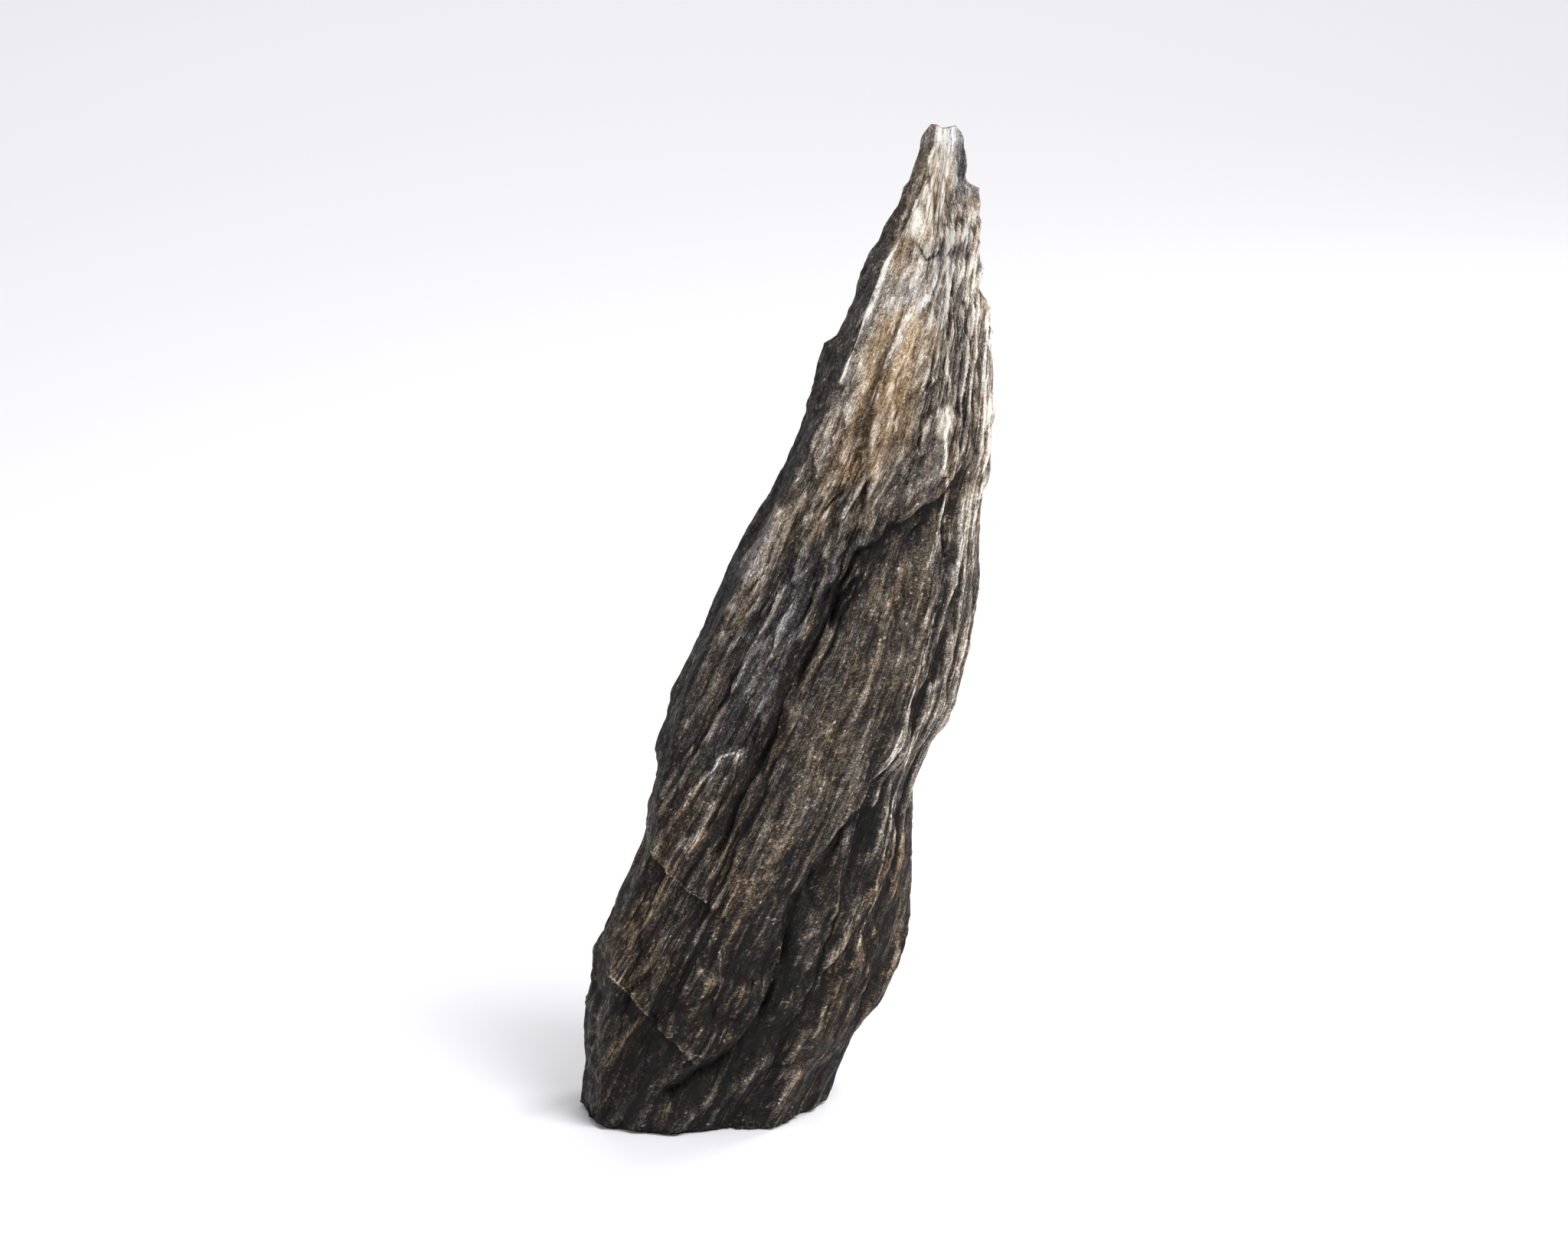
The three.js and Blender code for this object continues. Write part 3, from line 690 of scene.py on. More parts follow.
start = np.arange(around)
following = (start + 1) % around
quads = np.concatenate([
    np.column_stack([row * around + start, row * around + following,
                     (row + 1) * around + following, (row + 1) * around + start])
    for row in range(level_count - 1)])
last = (level_count - 1) * around
foot_point, tip_point = len(points) - 2, len(points) - 1
caps = np.concatenate([
    np.column_stack([np.full(around, foot_point), following, start]),
    np.column_stack([np.full(around, tip_point), last + start, last + following])])

mesh = bpy.data.meshes.new("schist_spire")
mesh.from_pydata((points * MM).tolist(), [], quads.tolist() + caps.tolist())
mesh.validate()
spire = bpy.data.objects.new("schist_spire", mesh)
bpy.context.scene.collection.objects.link(spire)
mesh.shade_smooth()
mesh.set_sharp_from_angle(angle=math.radians(SHARP))
print("spire:", len(points), "points,", 2 * len(quads) + len(caps), "triangles")

# %% [markdown]
# ## What each part of the stone is made of
# The material needs to know where it is: which layer, how deep in a groove, how pale or rusty. Each
# of these is stored on the mesh as a named number for every point. They are worked out from the
# finished face, so that the layers run on over every ledge as they do through real rock, and from
# soft strokes painted along paths, as the marks are.

# %% Numbers for the material
def blur(field, columns, rows):
    """A soft average over the neighbours, round the ring and up and down."""
    for _ in range(2):
        total = sum(np.roll(field, shift, 1) for shift in range(-columns, columns + 1))
        field = total / (2 * columns + 1)
        padded = np.pad(field, ((rows, rows), (0, 0)), mode="edge")
        field = sum(padded[k:k + field.shape[0]] for k in range(2 * rows + 1)) / (2 * rows + 1)
    return field


def standing_out(columns, rows, full):
    """How far a point stands out from its neighbours, from -1 to 1, which is `full` millimetres."""
    return np.clip((relief - blur(relief, columns, rows)) / full, -1, 1)


ridge = standing_out(columns=3, rows=2, full=0.5)
swell = standing_out(columns=14, rows=6, full=2.5)
x, y = face[..., 0], face[..., 1]  # from here on, places are those of the finished face
print("spread of ridge and swell:", round(float(ridge.std()), 2), round(float(swell.std()), 2))

# %% [markdown]
# The tone says how light the stone is before its grain is added. It grows from the dark foot to the
# cream tip, and the dark foot is partly the stone's own colour and partly painted shade. It is
# lighter on ridges and swells, a painted highlight with some wear on the sharpest edges, and darker
# in grooves, hollows and opened joints, which is painted shade. Strokes add what is special to one
# place, and some of them are painted shade in hollows and under ledges.

# %% Tone: how light the stone is
# Darker towards the foot: partly the stone's own colour and partly painted shade.
TONE_BY_HEIGHT = [[0, -0.35], [40, -0.31], [90, -0.21], [140, -0.12], [170, -0.07], [190, 0.02],
                  [215, 0.11], [245, 0.18], [270, 0.19], [300, 0.2]]
# The left split is darker partly by its own colour and partly by painted shade.
SPLIT_TONE_BY_HEIGHT = [[0, -0.3], [210, -0.28], [250, -0.16], [275, -0.06], [290, 0.04],
                        [300, 0.08]]  # the clean split on the left is darker than the rest
# Ridges and swells are lightened as a painted highlight, with some wear on the sharpest edges, and grooves
# and hollows are darkened as painted shade.
TONE_OF_RELIEF = {"ridge": 0.06, "swell": 0.05, "worn and lit ridge": 0.16, "shaded open joint": -0.16}
# The lighter crests of the ribs and of the left split are painted highlights as well.
TONE_OF_RIBS = {"ridge": 0.14, "all": -0.02}
SPLIT_RIDGE = 0.08  # how much lighter the ridges of the left split are
QUARTZ = {"path": [[-5, 187], [-13, 173]], "y": -12, "flat": 0.6, "border": (2, 7), "add": 0.34,
          "ragged": 1.5, "across": 4, "long": 6, "seed": 73}  # a round patch on the left edge
TONE_STROKES = [
    {"what": "cream below the tip", "path": [[45, 258], [40, 248], [34, 236]], "width": 10, "add": 0.13},
    {"what": "tip", "path": [[47, 300], [44, 288], [38, 274]], "width": 8.5, "add": 0.3},
    # Painted shade on the left side of the tip.
    {"what": "painted shade on the left side of the tip", "path": [[42.5, 301], [40.5, 293]], "width": 3.5,
     "add": -0.18},
    {"what": "grey block at the tip", "path": [[51, 299], [51.5, 286]], "width": 4, "add": -0.27},
    {"what": "pale chips in the band", "path": [[8, 67], [5, 54]], "width": 4, "add": 0.2},
    {"what": "pale streak right of the band", "path": [[21, 70], [15, 52]], "width": 3, "add": 0.2},
    {"what": "pale chip on the low right edge", "path": [[34, 58], [30, 45]], "width": 3.5, "add": 0.26},
    # The next two strokes darken the lower part: partly the stone's own colour, partly painted shade.
    {"what": "low right", "path": [[34, 84], [24, 50], [10, 14]], "width": 16, "add": -0.07},
    {"what": "low on the belly", "path": [[-6, 60], [-24, 30]], "width": 22, "add": -0.05},
    {"what": "gold", "path": [[31, 238], [24, 212]], "width": 11, "add": -0.09},
    {"what": "left of the brow", "path": [[8, 198], [2, 176]], "width": 12, "add": -0.05},
    {"what": "white knot", "path": [[46, 218], [45, 214]], "width": 3.5, "add": 0.34},
    {"what": "grey granular streak", "path": [[46, 244], [44, 224], [38, 204]], "width": 7, "add": -0.13},
    # The next four strokes darken with painted shade: the hollow and the ragged underside of the brow, and
    # the cleft and the band, which are also darker in colour.
    {"what": "painted shade in the hollow under the brow", "path": [[44, 190], [24, 176], [14, 162]], "width": 9, "add": -0.2},
    {"what": "painted shade under the brow's ragged underside", "path": [[47, 196], [36, 189], [28, 184], [20, 176]],
     "width": 6, "add": -0.16},
    {"what": "cleft", "path": [[14, 162], [6, 147], [0, 134], [-18, 97]], "width": 7, "add": -0.14},
    {"what": "band", "path": [[24, 97], [9, 80], [1, 62], [-8, 34], [-30, 16]], "width": 9, "add": -0.12},
    {"what": "quartz at the band's top", "path": [[30, 108], [26, 100]], "width": 4, "add": 0.16},
    # Painted shade in the recess inside the ribs.
    {"what": "painted shade in the recess inside the ribs", "path": [[51, 240], [51, 200]], "width": 5, "add": -0.1},
    {"what": "right ribs", "path": [[56, 262], [58, 200]], "width": 9, "add": -0.05},
]
tone = along(TONE_BY_HEIGHT, z) + TONE_OF_RELIEF["ridge"] * ridge + TONE_OF_RELIEF["swell"] * swell
# Opened joints are darkened: painted shade in them.
tone = tone + TONE_OF_RELIEF["shaded open joint"] * joints
tone = tone + TONE_OF_RELIEF["worn and lit ridge"] * np.maximum(0, ridge) ** 2
for item in TONE_STROKES:
    tone = tone + item["add"] * stroke(item["path"], item["width"])
tone = tone + rib_zone * (TONE_OF_RIBS["ridge"] * ridge + TONE_OF_RIBS["all"])
split_tone = along(SPLIT_TONE_BY_HEIGHT, z) + SPLIT_RIDGE * ridge
tone = tone * (1 - left_split) + left_split * split_tone
off_quartz, _ = from_path(QUARTZ["path"], x, z)
off_quartz = np.hypot(off_quartz, QUARTZ["flat"] * (y - QUARTZ["y"]))
off_quartz = off_quartz + QUARTZ["ragged"] * patches(QUARTZ, x, y, z)
tone = tone + QUARTZ["add"] * (1 - ease(*QUARTZ["border"], off_quartz))
print("tone from", round(float(tone.min()), 2), "to", round(float(tone.max()), 2))

# %% [markdown]
# Iron stains the stone brown and gold, and fresh mica is blue-black. Three numbers say how rusty,
# how golden and how cool each place is. They are kept apart, because mixing rust into blue gives a
# muddy purple that stone doesn't have.

# %% Warmth and coolness: where the stone is rusty and where it is blue-black
WARM_STROKES = [
    {"what": "gold below the tip", "path": [[44, 285], [36, 255]], "width": 9, "add": 0.3},
    {"what": "gold in the middle", "path": [[33, 240], [26, 216], [16, 194]], "width": 13, "add": 0.45},
    {"what": "brown under the brow", "path": [[44, 180], [24, 150], [8, 120]], "width": 22, "add": 0.25},
    {"what": "rusty streaks on the right block", "path": [[36, 84], [20, 44], [8, 14]], "width": 12,
     "add": 0.2},
    {"what": "brown belly", "path": [[14, 120], [-4, 86], [-18, 50], [-30, 24]], "width": 22, "add": 0.3},
    {"what": "brown left slabs", "path": [[-30, 96], [-46, 56], [-52, 20]], "width": 16, "add": 0.25},
]
GOLD_STROKES = [
    {"what": "below the tip", "path": [[44, 288], [36, 262]], "width": 9, "add": 0.65},
    {"what": "middle of the upper face", "path": [[34, 241], [28, 222], [22, 206]], "width": 12,
     "add": 0.85},
    {"what": "left of the brow", "path": [[16, 200], [6, 176]], "width": 9, "add": 0.25},
    {"what": "belly", "path": [[34, 166], [12, 116], [-8, 76]], "width": 16, "add": 0.1},
    {"what": "lower right block", "path": [[36, 84], [20, 44], [8, 14]], "width": 12, "add": 0.5},
    {"what": "left slabs", "path": [[-32, 92], [-46, 56], [-52, 20]], "width": 12, "add": 0.35},
    {"what": "foot of the belly", "path": [[-12, 74], [-26, 40]], "width": 9, "add": 0.25},
]
COOL_STROKES = [
    {"what": "blue-grey ribs left of the cleft", "path": [[8, 176], [-4, 148], [-20, 112]],
     "width": 9, "add": 0.35},
    {"what": "blue-black band", "path": [[26, 98], [9, 79], [1, 62], [-4, 45]], "width": 8, "add": 0.16},
    {"what": "grey block at the tip", "path": [[50, 296], [52, 284]], "width": 6, "add": 0.6},
    {"what": "grey patch", "path": [[42, 262], [38, 254]], "width": 7, "add": 0.4},
]
WARMTH = {"mean": 0.64, "low": 0.12, "patches": 0.3, "across": 24, "long": 34, "seed": 71}
COOLNESS = {"mean": 0.04, "low": -0.1, "patches": 0.2, "across": 22, "long": 40, "seed": 72}
LOW_PART = (20, 110)  # heights over which the foot's colour passes into the rest
ON_SPLIT = {"warm": 0.6, "cool": 0.15}  # share of warmth lost on the left split, and coolness gained


def patchy(share):
    """A share that varies in patches, and is larger or smaller low on the stone."""
    low = 1 - ease(*LOW_PART, z)
    return share["mean"] + share["low"] * low + share["patches"] * patches(share, x, y, z)


warm, cool = patchy(WARMTH), patchy(COOLNESS)
for item in WARM_STROKES:
    warm = warm + item["add"] * stroke(item["path"], item["width"])
for item in COOL_STROKES:
    cool = cool + item["add"] * stroke(item["path"], item["width"])
    warm = warm - item["add"] * stroke(item["path"], item["width"])
gold = np.zeros(x.shape)
for item in GOLD_STROKES:
    gold = gold + item["add"] * stroke(item["path"], item["width"])
warm = np.clip(warm * (1 - ON_SPLIT["warm"] * left_split), 0, 1)
cool = np.clip(cool + ON_SPLIT["cool"] * left_split, 0, 1)
for name, field in (("warm", warm), ("gold", gold), ("cool", cool)):
    print("mean", name, "share:", round(float(field.mean()), 2))

# %% [markdown]
# Thin white lines along edges and fractures are painted highlights where the edges catch the
# light, with some wear. They are paths again, and their signed distances are stored, so that the
# material can draw them much finer than the mesh's faces.

# %% White lines along edges and fractures
WHITE_LINES = [
    {"what": "left front edge", "width": 0.9, "path": [
        [44.5, 296], [39, 286], [33, 272], [29, 262], [23.4, 247], [17.4, 232], [13, 222],
        [6.5, 211], [0, 198]]},
    {"what": "step beside the ribs", "width": 0.7, "path": [
        [44, 286], [47, 262], [46, 240], [47, 216], [46, 196]]},
    {"what": "line near the right edge", "width": 0.6, "path": [
        [58, 250], [60, 226], [59, 204], [56, 182]]},
    {"what": "left rim of the lower ribs", "width": 0.8, "path": [
        [47, 196], [46, 176], [42, 150], [36, 130], [28, 108]]},
    {"what": "top end of the left slab", "width": 0.6, "path": [
        [-30, 101], [-20, 116], [-14, 119], [-16, 108]]},
    {"what": "upper cross fracture", "width": 0.6, "path": [[-23, 73], [-30, 77], [-39, 83.5]]},
    {"what": "lower cross fracture", "width": 0.6, "path": [[-31, 27], [-52, 48]]},
    {"what": "right rim of the band", "width": 0.6, "path": [
        [37, 120], [32, 100], [28, 80], [22, 58]]},
]
WHITE_WOBBLE = 0.5  # share of the cracks' wandering that the white lines have
white_side, nearest_white = nearest_line(WHITE_LINES, *ragged(x + WHITE_WOBBLE * wobble, z))
white_side = white_side / values_of(WHITE_LINES, "width", nearest_white)
print(len(WHITE_LINES), "white lines")

# %% [markdown]
# Every number now goes onto the mesh under its name. Half-way between two paths a distance changes
# its sign too, so a second number says where a line is near, and none is drawn elsewhere. The place
# in the grain is stored as three numbers: layer, depth and height.

# %% Store the numbers on the mesh
NEAR = 1.9  # a line is only drawn where the stored distance is smaller than this, in mm
FARTHEST = 2  # distances beyond this are stored as this, in mm


def store(name, field):
    """Puts a number for every point of the rings on the mesh; the caps take their nearest ring's."""
    full = np.concatenate([field[:1], field, field[-1:]]).reshape(-1)
    full = np.concatenate([full, [field[0].mean(), field[-1].mean()]])
    mesh.attributes.new(name, "FLOAT", "POINT").data.foreach_set("value", full.astype(np.float32))


for name, field in (
        ("crack_side", np.clip(crack_side, -FARTHEST, FARTHEST)),
        ("crack_near", crack_strength * (np.abs(crack_side) < NEAR)),
        ("white_side", np.clip(white_side, -FARTHEST, FARTHEST)),
        ("white_near", front_view * (np.abs(white_side) < NEAR)),
        ("tone", tone), ("warm", warm), ("cool", cool), ("gold", gold), ("streaky", streaky)):
    store(name, field)
spot = points + [*MIDDLE, 0]
grain_place = np.column_stack([wavy(layer_at(*spot.T), *spot.T), spot[:, 1:]])
grain_data = mesh.attributes.new("grain", "FLOAT_VECTOR", "POINT").data
grain_data.foreach_set("vector", grain_place.astype(np.float32).reshape(-1))
print("numbers on the mesh:", [a.name for a in mesh.attributes if a.name[0] != "."])

# %% [markdown]
# ## The schist
# The real stone is thousands of thin layers of dark mica, grey and cream feldspar and rusty stain.
# So the material works in the grain's coordinates, measured in millimetres. Noise that is stretched
# along the grain gives bands and streaks, noise that isn't gives blotches and grit, and little
# cells give laminae, flakes and grains. Together they pick a colour from a ramp. There are four
# ramps, plain, rusty, gold and cool, and the stored shares mix them. A photograph wrapped round the
# stone would be quicker, but it would smear on the sides and stop at the hidden back.

# %% Helpers for nodes
def srgb(red, green, blue):
    """A colour as a paint chart gives it, turned into the light values that the shader needs."""
    def channel(v):
        v = v / 255
        return v / 12.92 if v <= 0.04045 else ((v + 0.055) / 1.055) ** 2.4
    return (channel(red), channel(green), channel(blue), 1)


schist = bpy.data.materials.new("schist")
schist.use_nodes = True
tree = schist.node_tree
tree.nodes.clear()


def add(kind, inputs=None, **settings):
    """A node with its settings, and its inputs as numbers or as the outputs that feed them."""
    made = tree.nodes.new(kind)
    for name, value in settings.items():
        setattr(made, name, value)
    for name, value in (inputs or {}).items():
        if isinstance(value, bpy.types.NodeSocket):
            tree.links.new(value, made.inputs[name])
        else:
            made.inputs[name].default_value = value
    return made


def stored(name, output="Fac"):
    """A number that is stored on the mesh."""
    return add("ShaderNodeAttribute", attribute_name=name).outputs[output]


def math_node(operation, first, second=0.5, third=0.5, clamp=False):
    """One sum with up to three numbers; MULTIPLY_ADD is first * second + third."""
    return add("ShaderNodeMath", {0: first, 1: second, 2: third},
               operation=operation, use_clamp=clamp).outputs[0]


def stepped(value, times, plus):
    """A value times a number plus another, cut off at 0 and 1."""
    return math_node("MULTIPLY_ADD", value, times, plus, clamp=True)


def ramp(value, stops):
    """A colour ramp from a list of (place, colour)."""
    made = add("ShaderNodeValToRGB", {0: value})
    elements = made.color_ramp.elements
    for place, colour in stops[2:]:
        elements.new(place).color = colour
    for element, (place, colour) in zip(sorted(elements, key=lambda e: e.position), sorted(stops)):
        element.position = place
        element.color = colour
    return made.outputs[0]


def mix_colour(share, first, second):
    """One colour passing into another as a share goes from 0 to 1."""
    return add("ShaderNodeMix", {0: share, 6: first, 7: second},
               data_type="RGBA", clamp_factor=True).outputs[2]


def weighted_sum(parts):
    """Adds up (value, weight) pairs, each value counted from its middle, 0.5."""
    total = -0.5 * sum(weight for _, weight in parts)
    for value, weight in parts:
        total = math_node("MULTIPLY_ADD", value, weight, total)
    return total


print("node helpers ready")

# %% [markdown]
# The noises and cells are the stone's minerals, from bands of several millimetres down to single
# grains. Each is given by its size across the layers, through their depth and along them. In a
# streaky place the short streaks pass into long ones, and thin laminae join them.

# %% Noise and cells along the grain
grain = stored("grain", "Vector")
APART = (37.0, 11.0, 53.0)  # moves a second set of noises away, so that it doesn't match the first
offset_grain = add("ShaderNodeVectorMath", {0: grain, 1: APART}).outputs[0]


def stretched(source, across, deep, long):
    """Coordinates in which a noise gets these lengths, in millimetres."""
    return add("ShaderNodeVectorMath", {0: source, 1: (1 / across, 1 / deep, 1 / long)},
               operation="MULTIPLY").outputs[0]


def grain_noise(across, deep, long, detail, roughness, distortion=0.0, source=grain):
    """Noise that is stretched along the grain."""
    made = add("ShaderNodeTexNoise", {
        "Vector": stretched(source, across, deep, long), "Scale": 1.0, "Detail": detail,
        "Roughness": roughness, "Distortion": distortion})
    return made.outputs["Fac"]


def grain_cells(across, deep, long):
    """Little cells along the grain: their distances and their random numbers."""
    cells = add("ShaderNodeTexVoronoi", {"Vector": stretched(grain, across, deep, long), "Scale": 1.0})
    return cells.outputs["Distance"], add("ShaderNodeSeparateColor", {0: cells.outputs["Color"]}).outputs


bands = grain_noise(4.5, 14, 70, 3, 0.55, 0.2)
blotches = grain_noise(2.6, 3.2, 4.6, 5, 0.66, 0.8)
short_streaks = grain_noise(0.6, 1.2, 2.0, 3, 0.68, 0.6)
long_streaks = grain_noise(0.75, 2.6, 22, 3, 0.6, 0.15)
streaks = math_node("MULTIPLY_ADD", math_node("SUBTRACT", long_streaks, short_streaks),
                    stored("streaky"), short_streaks)
_, lamina_random = grain_cells(1.1, 4, 34)
_, thread_random = grain_cells(0.5, 2, 13)
THREAD = 0.6  # strength of the finer threads beside the laminae
lamina = math_node("MULTIPLY_ADD", thread_random[0], THREAD, lamina_random[0])
lamina = math_node("SUBTRACT", lamina, 0.5 + 0.5 * THREAD)
lamina = math_node("MULTIPLY", lamina, stored("streaky"))
grit = grain_noise(0.28, 0.3, 0.36, 1, 0.5)
flake_distance, flake_random = grain_cells(0.9, 1.3, 2.3)
grain_distance, grain_random = grain_cells(0.42, 0.5, 0.6)
print("five scales of noise and four of cells")

# %% [markdown]
# Thin lines come in two kinds. Those that lie anywhere are drawn where a noise passes through its
# middle value, broken up by patches. Those with a place of their own are drawn where a stored
# distance passes through nothing.

# %% Lines and specks
def thin_lines(across, deep, long, width, patch_size):
    """Broken thin lines along the grain, where a noise passes through its middle value."""
    wander = grain_noise(across, deep, long, 2, 0.5, 0.3)
    off = math_node("ABSOLUTE", math_node("SUBTRACT", wander, 0.5))
    line = math_node("SUBTRACT", 1.0, math_node("DIVIDE", off, width), clamp=True)
    broken = grain_noise(patch_size, patch_size * 2, patch_size * 3, 2, 0.6, 0.0, offset_grain)
    return math_node("MULTIPLY", line, stepped(broken, times=7.0, plus=-3.7))


def drawn_line(name, wander, width):
    """A crisp line where a stored distance, made to wander a little, passes through nothing."""
    off = math_node("ABSOLUTE", math_node("ADD", stored(name + "_side"), wander))
    line = math_node("SUBTRACT", 1.0, math_node("DIVIDE", off, width), clamp=True)
    return math_node("MULTIPLY", line, stored(name + "_near"))


white_lines = thin_lines(1.7, 6, 34, 0.03, 2.4)
dark_lines = thin_lines(1.5, 5, 24, 0.03, 2.0)
hair_lines = thin_lines(0.8, 3, 22, 0.05, 1.8)
# The pale dots of single grains are painted glints of mica.
glint_speck = stepped(grain_random[0], times=16.0, plus=-15.2)  # one grain in twenty
# The crack line darkens each drawn crack, which is painted shade in it, and is cut into the bump too.
crack_line_and_shade = drawn_line("crack", weighted_sum([(blotches, 1.0)]), 0.5)
# The drawn white line is a painted highlight along edges and fractures, with some wear.
white_line = drawn_line("white", weighted_sum([(streaks, 2.0)]), 1.0)
white_line = math_node("MULTIPLY", white_line, stepped(blotches, times=4.0, plus=-1.1))
print("three kinds of loose lines and two of drawn lines")

# %% [markdown]
# All of these are added up to one number, the lightness, each with its own weight. A noise stays
# near its middle, so it needs a large weight. A line is there or not, so a small one will do.

# %% Lightness
MIDDLE_TONE = 0.4  # lightness where the stored tone and every part are at their middle
pattern = weighted_sum([(bands, 0.42), (blotches, 0.48), (streaks, 0.72), (grit, 0.72),
                        (flake_random[1], 0.12), (grain_random[1], 0.2)])
lightness = math_node("ADD", math_node("ADD", pattern, stored("tone")), MIDDLE_TONE)
# Of these lines, the darkened cracks are painted shade, the pale dots of grains are painted glints and the
# drawn white lines are painted highlights.
for line, weight in ((white_lines, 0.2), (dark_lines, -0.18), (glint_speck, 0.4), (crack_line_and_shade, -0.3),
                     (white_line, 0.48), (lamina, 0.26), (hair_lines, 0.2)):
    lightness = math_node("MULTIPLY_ADD", line, weight, lightness)
print("lightness is summed from 13 parts and the stored tone")

# %% [markdown]
# Each ramp runs from the darkest mica to the whitest quartz. The stain noise moves the borders of
# the stored shares, so that rust sits in ragged patches and not in soft brush strokes.

# %% Colour
PLAIN = [(0.0, srgb(12, 11, 10)), (0.2, srgb(38, 35, 33)), (0.4, srgb(77, 72, 68)),
         (0.58, srgb(121, 115, 110)), (0.76, srgb(176, 169, 162)), (1.0, srgb(238, 234, 229))]
RUSTY = [(0.0, srgb(14, 12, 10)), (0.2, srgb(44, 38, 32)), (0.4, srgb(90, 81, 70)),
         (0.58, srgb(138, 126, 111)), (0.76, srgb(192, 180, 164)), (1.0, srgb(243, 237, 227))]
GOLD = [(0.0, srgb(18, 14, 10)), (0.2, srgb(58, 45, 32)), (0.4, srgb(112, 91, 67)),
        (0.58, srgb(163, 136, 104)), (0.76, srgb(207, 184, 153)), (1.0, srgb(246, 239, 226))]
COOL = [(0.0, srgb(10, 11, 12)), (0.2, srgb(33, 34, 36)), (0.4, srgb(68, 69, 72)),
        (0.58, srgb(112, 114, 117)), (0.76, srgb(170, 171, 173)), (1.0, srgb(232, 232, 233))]
stain = grain_noise(3.5, 9, 20, 4, 0.62, 0.4, source=offset_grain)


def stained(name, strength):
    """A stored share with its borders moved by the stain."""
    return math_node("MULTIPLY_ADD", math_node("SUBTRACT", stain, 0.5), strength, stored(name), True)


colour = mix_colour(stained("warm", 1.7), ramp(lightness, PLAIN), ramp(lightness, RUSTY))
colour = mix_colour(stained("gold", 1.8), colour, ramp(lightness, GOLD))
colour = mix_colour(stained("cool", -1.6), colour, ramp(lightness, COOL))
print("colour ramps:", len(PLAIN), len(RUSTY), len(GOLD), len(COOL))

# %% [markdown]
# ## Mica and bump
# Flakes of mica are smoother than the rest and catch the light, so roughness drops in scattered
# long cells. The bump is fine only: every form that is wider than about a millimetre is real
# geometry.

# %% Surface
FLAKE_SHARE = 0.2  # share of the long cells that are flakes of mica
ROUGHNESS = {"stone": 0.74, "flake": 0.4}
is_flake = math_node("GREATER_THAN", flake_random[2], 1 - FLAKE_SHARE)
roughness = math_node("MULTIPLY_ADD", is_flake, ROUGHNESS["flake"] - ROUGHNESS["stone"],
                      ROUGHNESS["stone"])
height = weighted_sum([(blotches, 0.7), (streaks, 0.9), (grit, 0.35), (flake_random[0], 0.15)])
for part, weight in ((flake_distance, -0.2), (grain_distance, -0.12), (dark_lines, -0.35),
                     (crack_line_and_shade, -0.6), (lamina, 0.25)):
    height = math_node("MULTIPLY_ADD", part, weight, height)
bump = add("ShaderNodeBump", {"Strength": 0.8, "Distance": 0.0008, "Height": height}).outputs[0]
surface = add("ShaderNodeBsdfPrincipled", {
    "Base Color": colour, "Roughness": roughness, "Normal": bump, "Specular IOR Level": 0.25})
add("ShaderNodeOutputMaterial", {"Surface": surface.outputs[0]})
mesh.materials.append(schist)
print("schist has", len(tree.nodes), "nodes")

# %% [markdown]
# ## Joining the frame
# The fine stone takes the place of the plain solid, which stays underneath as what collides.

# %% Ride and replace
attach(spire, "root")
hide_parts("stone")
print("rides on root, stands for the solid stone")

# %% [markdown]
# ## Floor, light and camera
# A plain pale floor and soft light from large lamps, as in a product photograph. The camera looks
# along +Y from 15 degrees above the horizon with a long lens, which keeps the tall shape true.

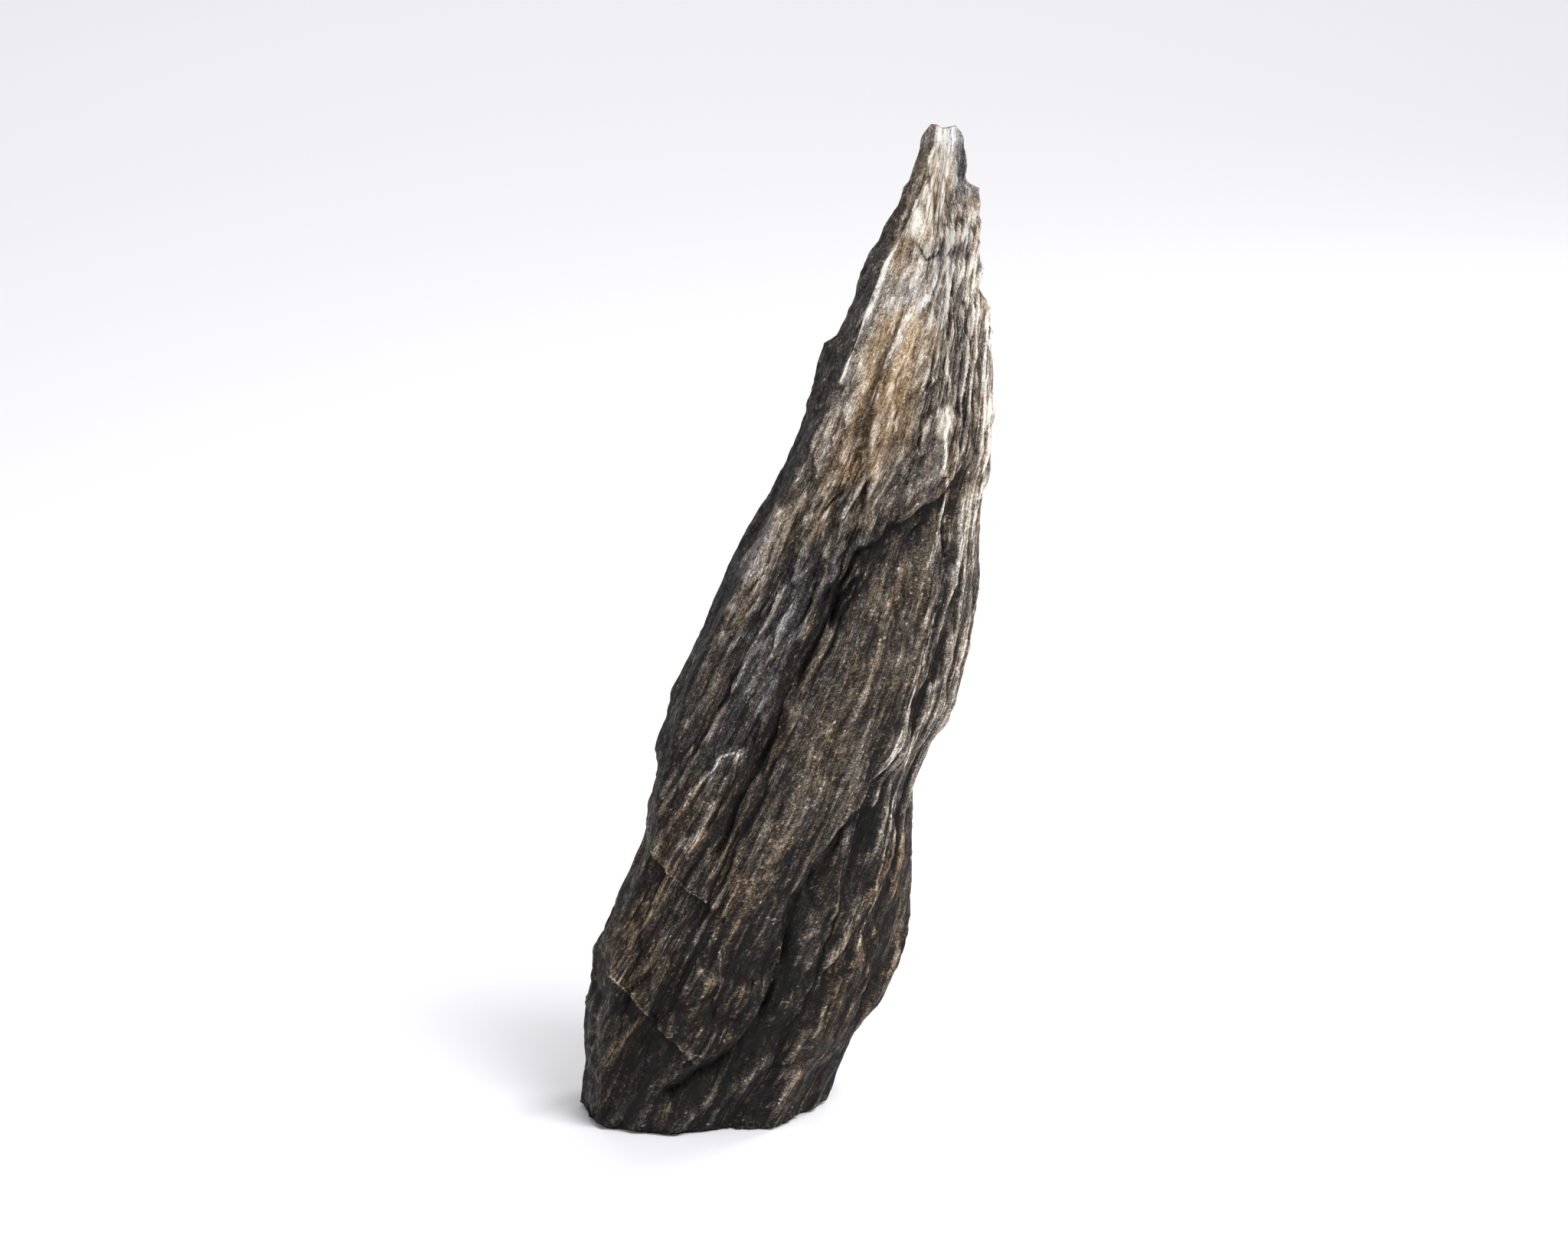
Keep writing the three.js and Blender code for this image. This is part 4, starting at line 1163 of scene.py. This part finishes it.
# %% Floor
FLOOR_HALF = 8.0  # metres
floor_mesh = bpy.data.meshes.new("floor")
floor_mesh.from_pydata([(-FLOOR_HALF, -FLOOR_HALF, 0), (FLOOR_HALF, -FLOOR_HALF, 0),
                        (FLOOR_HALF, FLOOR_HALF, 0), (-FLOOR_HALF, FLOOR_HALF, 0)], [], [(0, 1, 2, 3)])
floor = bpy.data.objects.new("floor", floor_mesh)
bpy.context.scene.collection.objects.link(floor)
paper = bpy.data.materials.new("paper")
paper.use_nodes = True
paper_shader = paper.node_tree.nodes["Principled BSDF"]
paper_shader.inputs["Base Color"].default_value = (0.87, 0.865, 0.9, 1)
paper_shader.inputs["Roughness"].default_value = 0.9
floor_mesh.materials.append(paper)
print("floor", 2 * FLOOR_HALF, "m wide")

# %% [markdown]
# One large lamp above on the right gives the light its direction. A weak fill opens the shadows, a
# rim lamp parts the right edge from the floor, and a lamp of its own keeps the backdrop pale.

# %% Light
world = bpy.data.worlds.new("studio")
bpy.context.scene.world = world
world.use_nodes = True
world.node_tree.nodes["Background"].inputs["Color"].default_value = (1.0, 0.99, 0.98, 1)
world.node_tree.nodes["Background"].inputs["Strength"].default_value = 0.46
TARGET = Vector((0, 0, 0.15))
LAMPS = [
    {"name": "softbox above, to the right", "place": (0.8, -0.7, 1.4), "size": 0.9, "watts": 28},
    {"name": "fill, on the left", "place": (-1.3, -1.2, 0.9), "size": 1.2, "watts": 4},
    {"name": "rim, behind on the right", "place": (1.0, 0.7, 0.7), "size": 0.5, "watts": 8},
    {"name": "lamp over the backdrop", "place": (0, 2.6, 2.2), "size": 2.4, "watts": 32, "aim": (0, 2, 0)},
]
for lamp in LAMPS:
    light = bpy.data.lights.new(lamp["name"], "AREA")
    light.size = lamp["size"]
    light.energy = lamp["watts"]
    holder = bpy.data.objects.new(lamp["name"], light)
    holder.location = lamp["place"]
    aim = Vector(lamp.get("aim", TARGET))
    holder.rotation_euler = (aim - holder.location).to_track_quat("-Z", "Y").to_euler()
    bpy.context.scene.collection.objects.link(holder)
print(len(LAMPS), "lamps")

# %% [markdown]
# The camera is on the same side as the viewer of the photographed face, and looks down by the same
# angle. At this distance the lens shows the whole stone with some air round it.

# %% Camera
ELEVATION = math.radians(15)
DISTANCE = 1.45  # metres
camera_data = bpy.data.cameras.new("camera")
camera_data.lens = 112
camera = bpy.data.objects.new("camera", camera_data)
camera.location = TARGET + DISTANCE * Vector((0, -math.cos(ELEVATION), math.sin(ELEVATION)))
camera.rotation_euler = (TARGET - camera.location).to_track_quat("-Z", "Y").to_euler()
bpy.context.scene.collection.objects.link(camera)
bpy.context.scene.camera = camera
bpy.context.scene.view_settings.view_transform = "Standard"
print("camera", round(DISTANCE, 2), "m away")
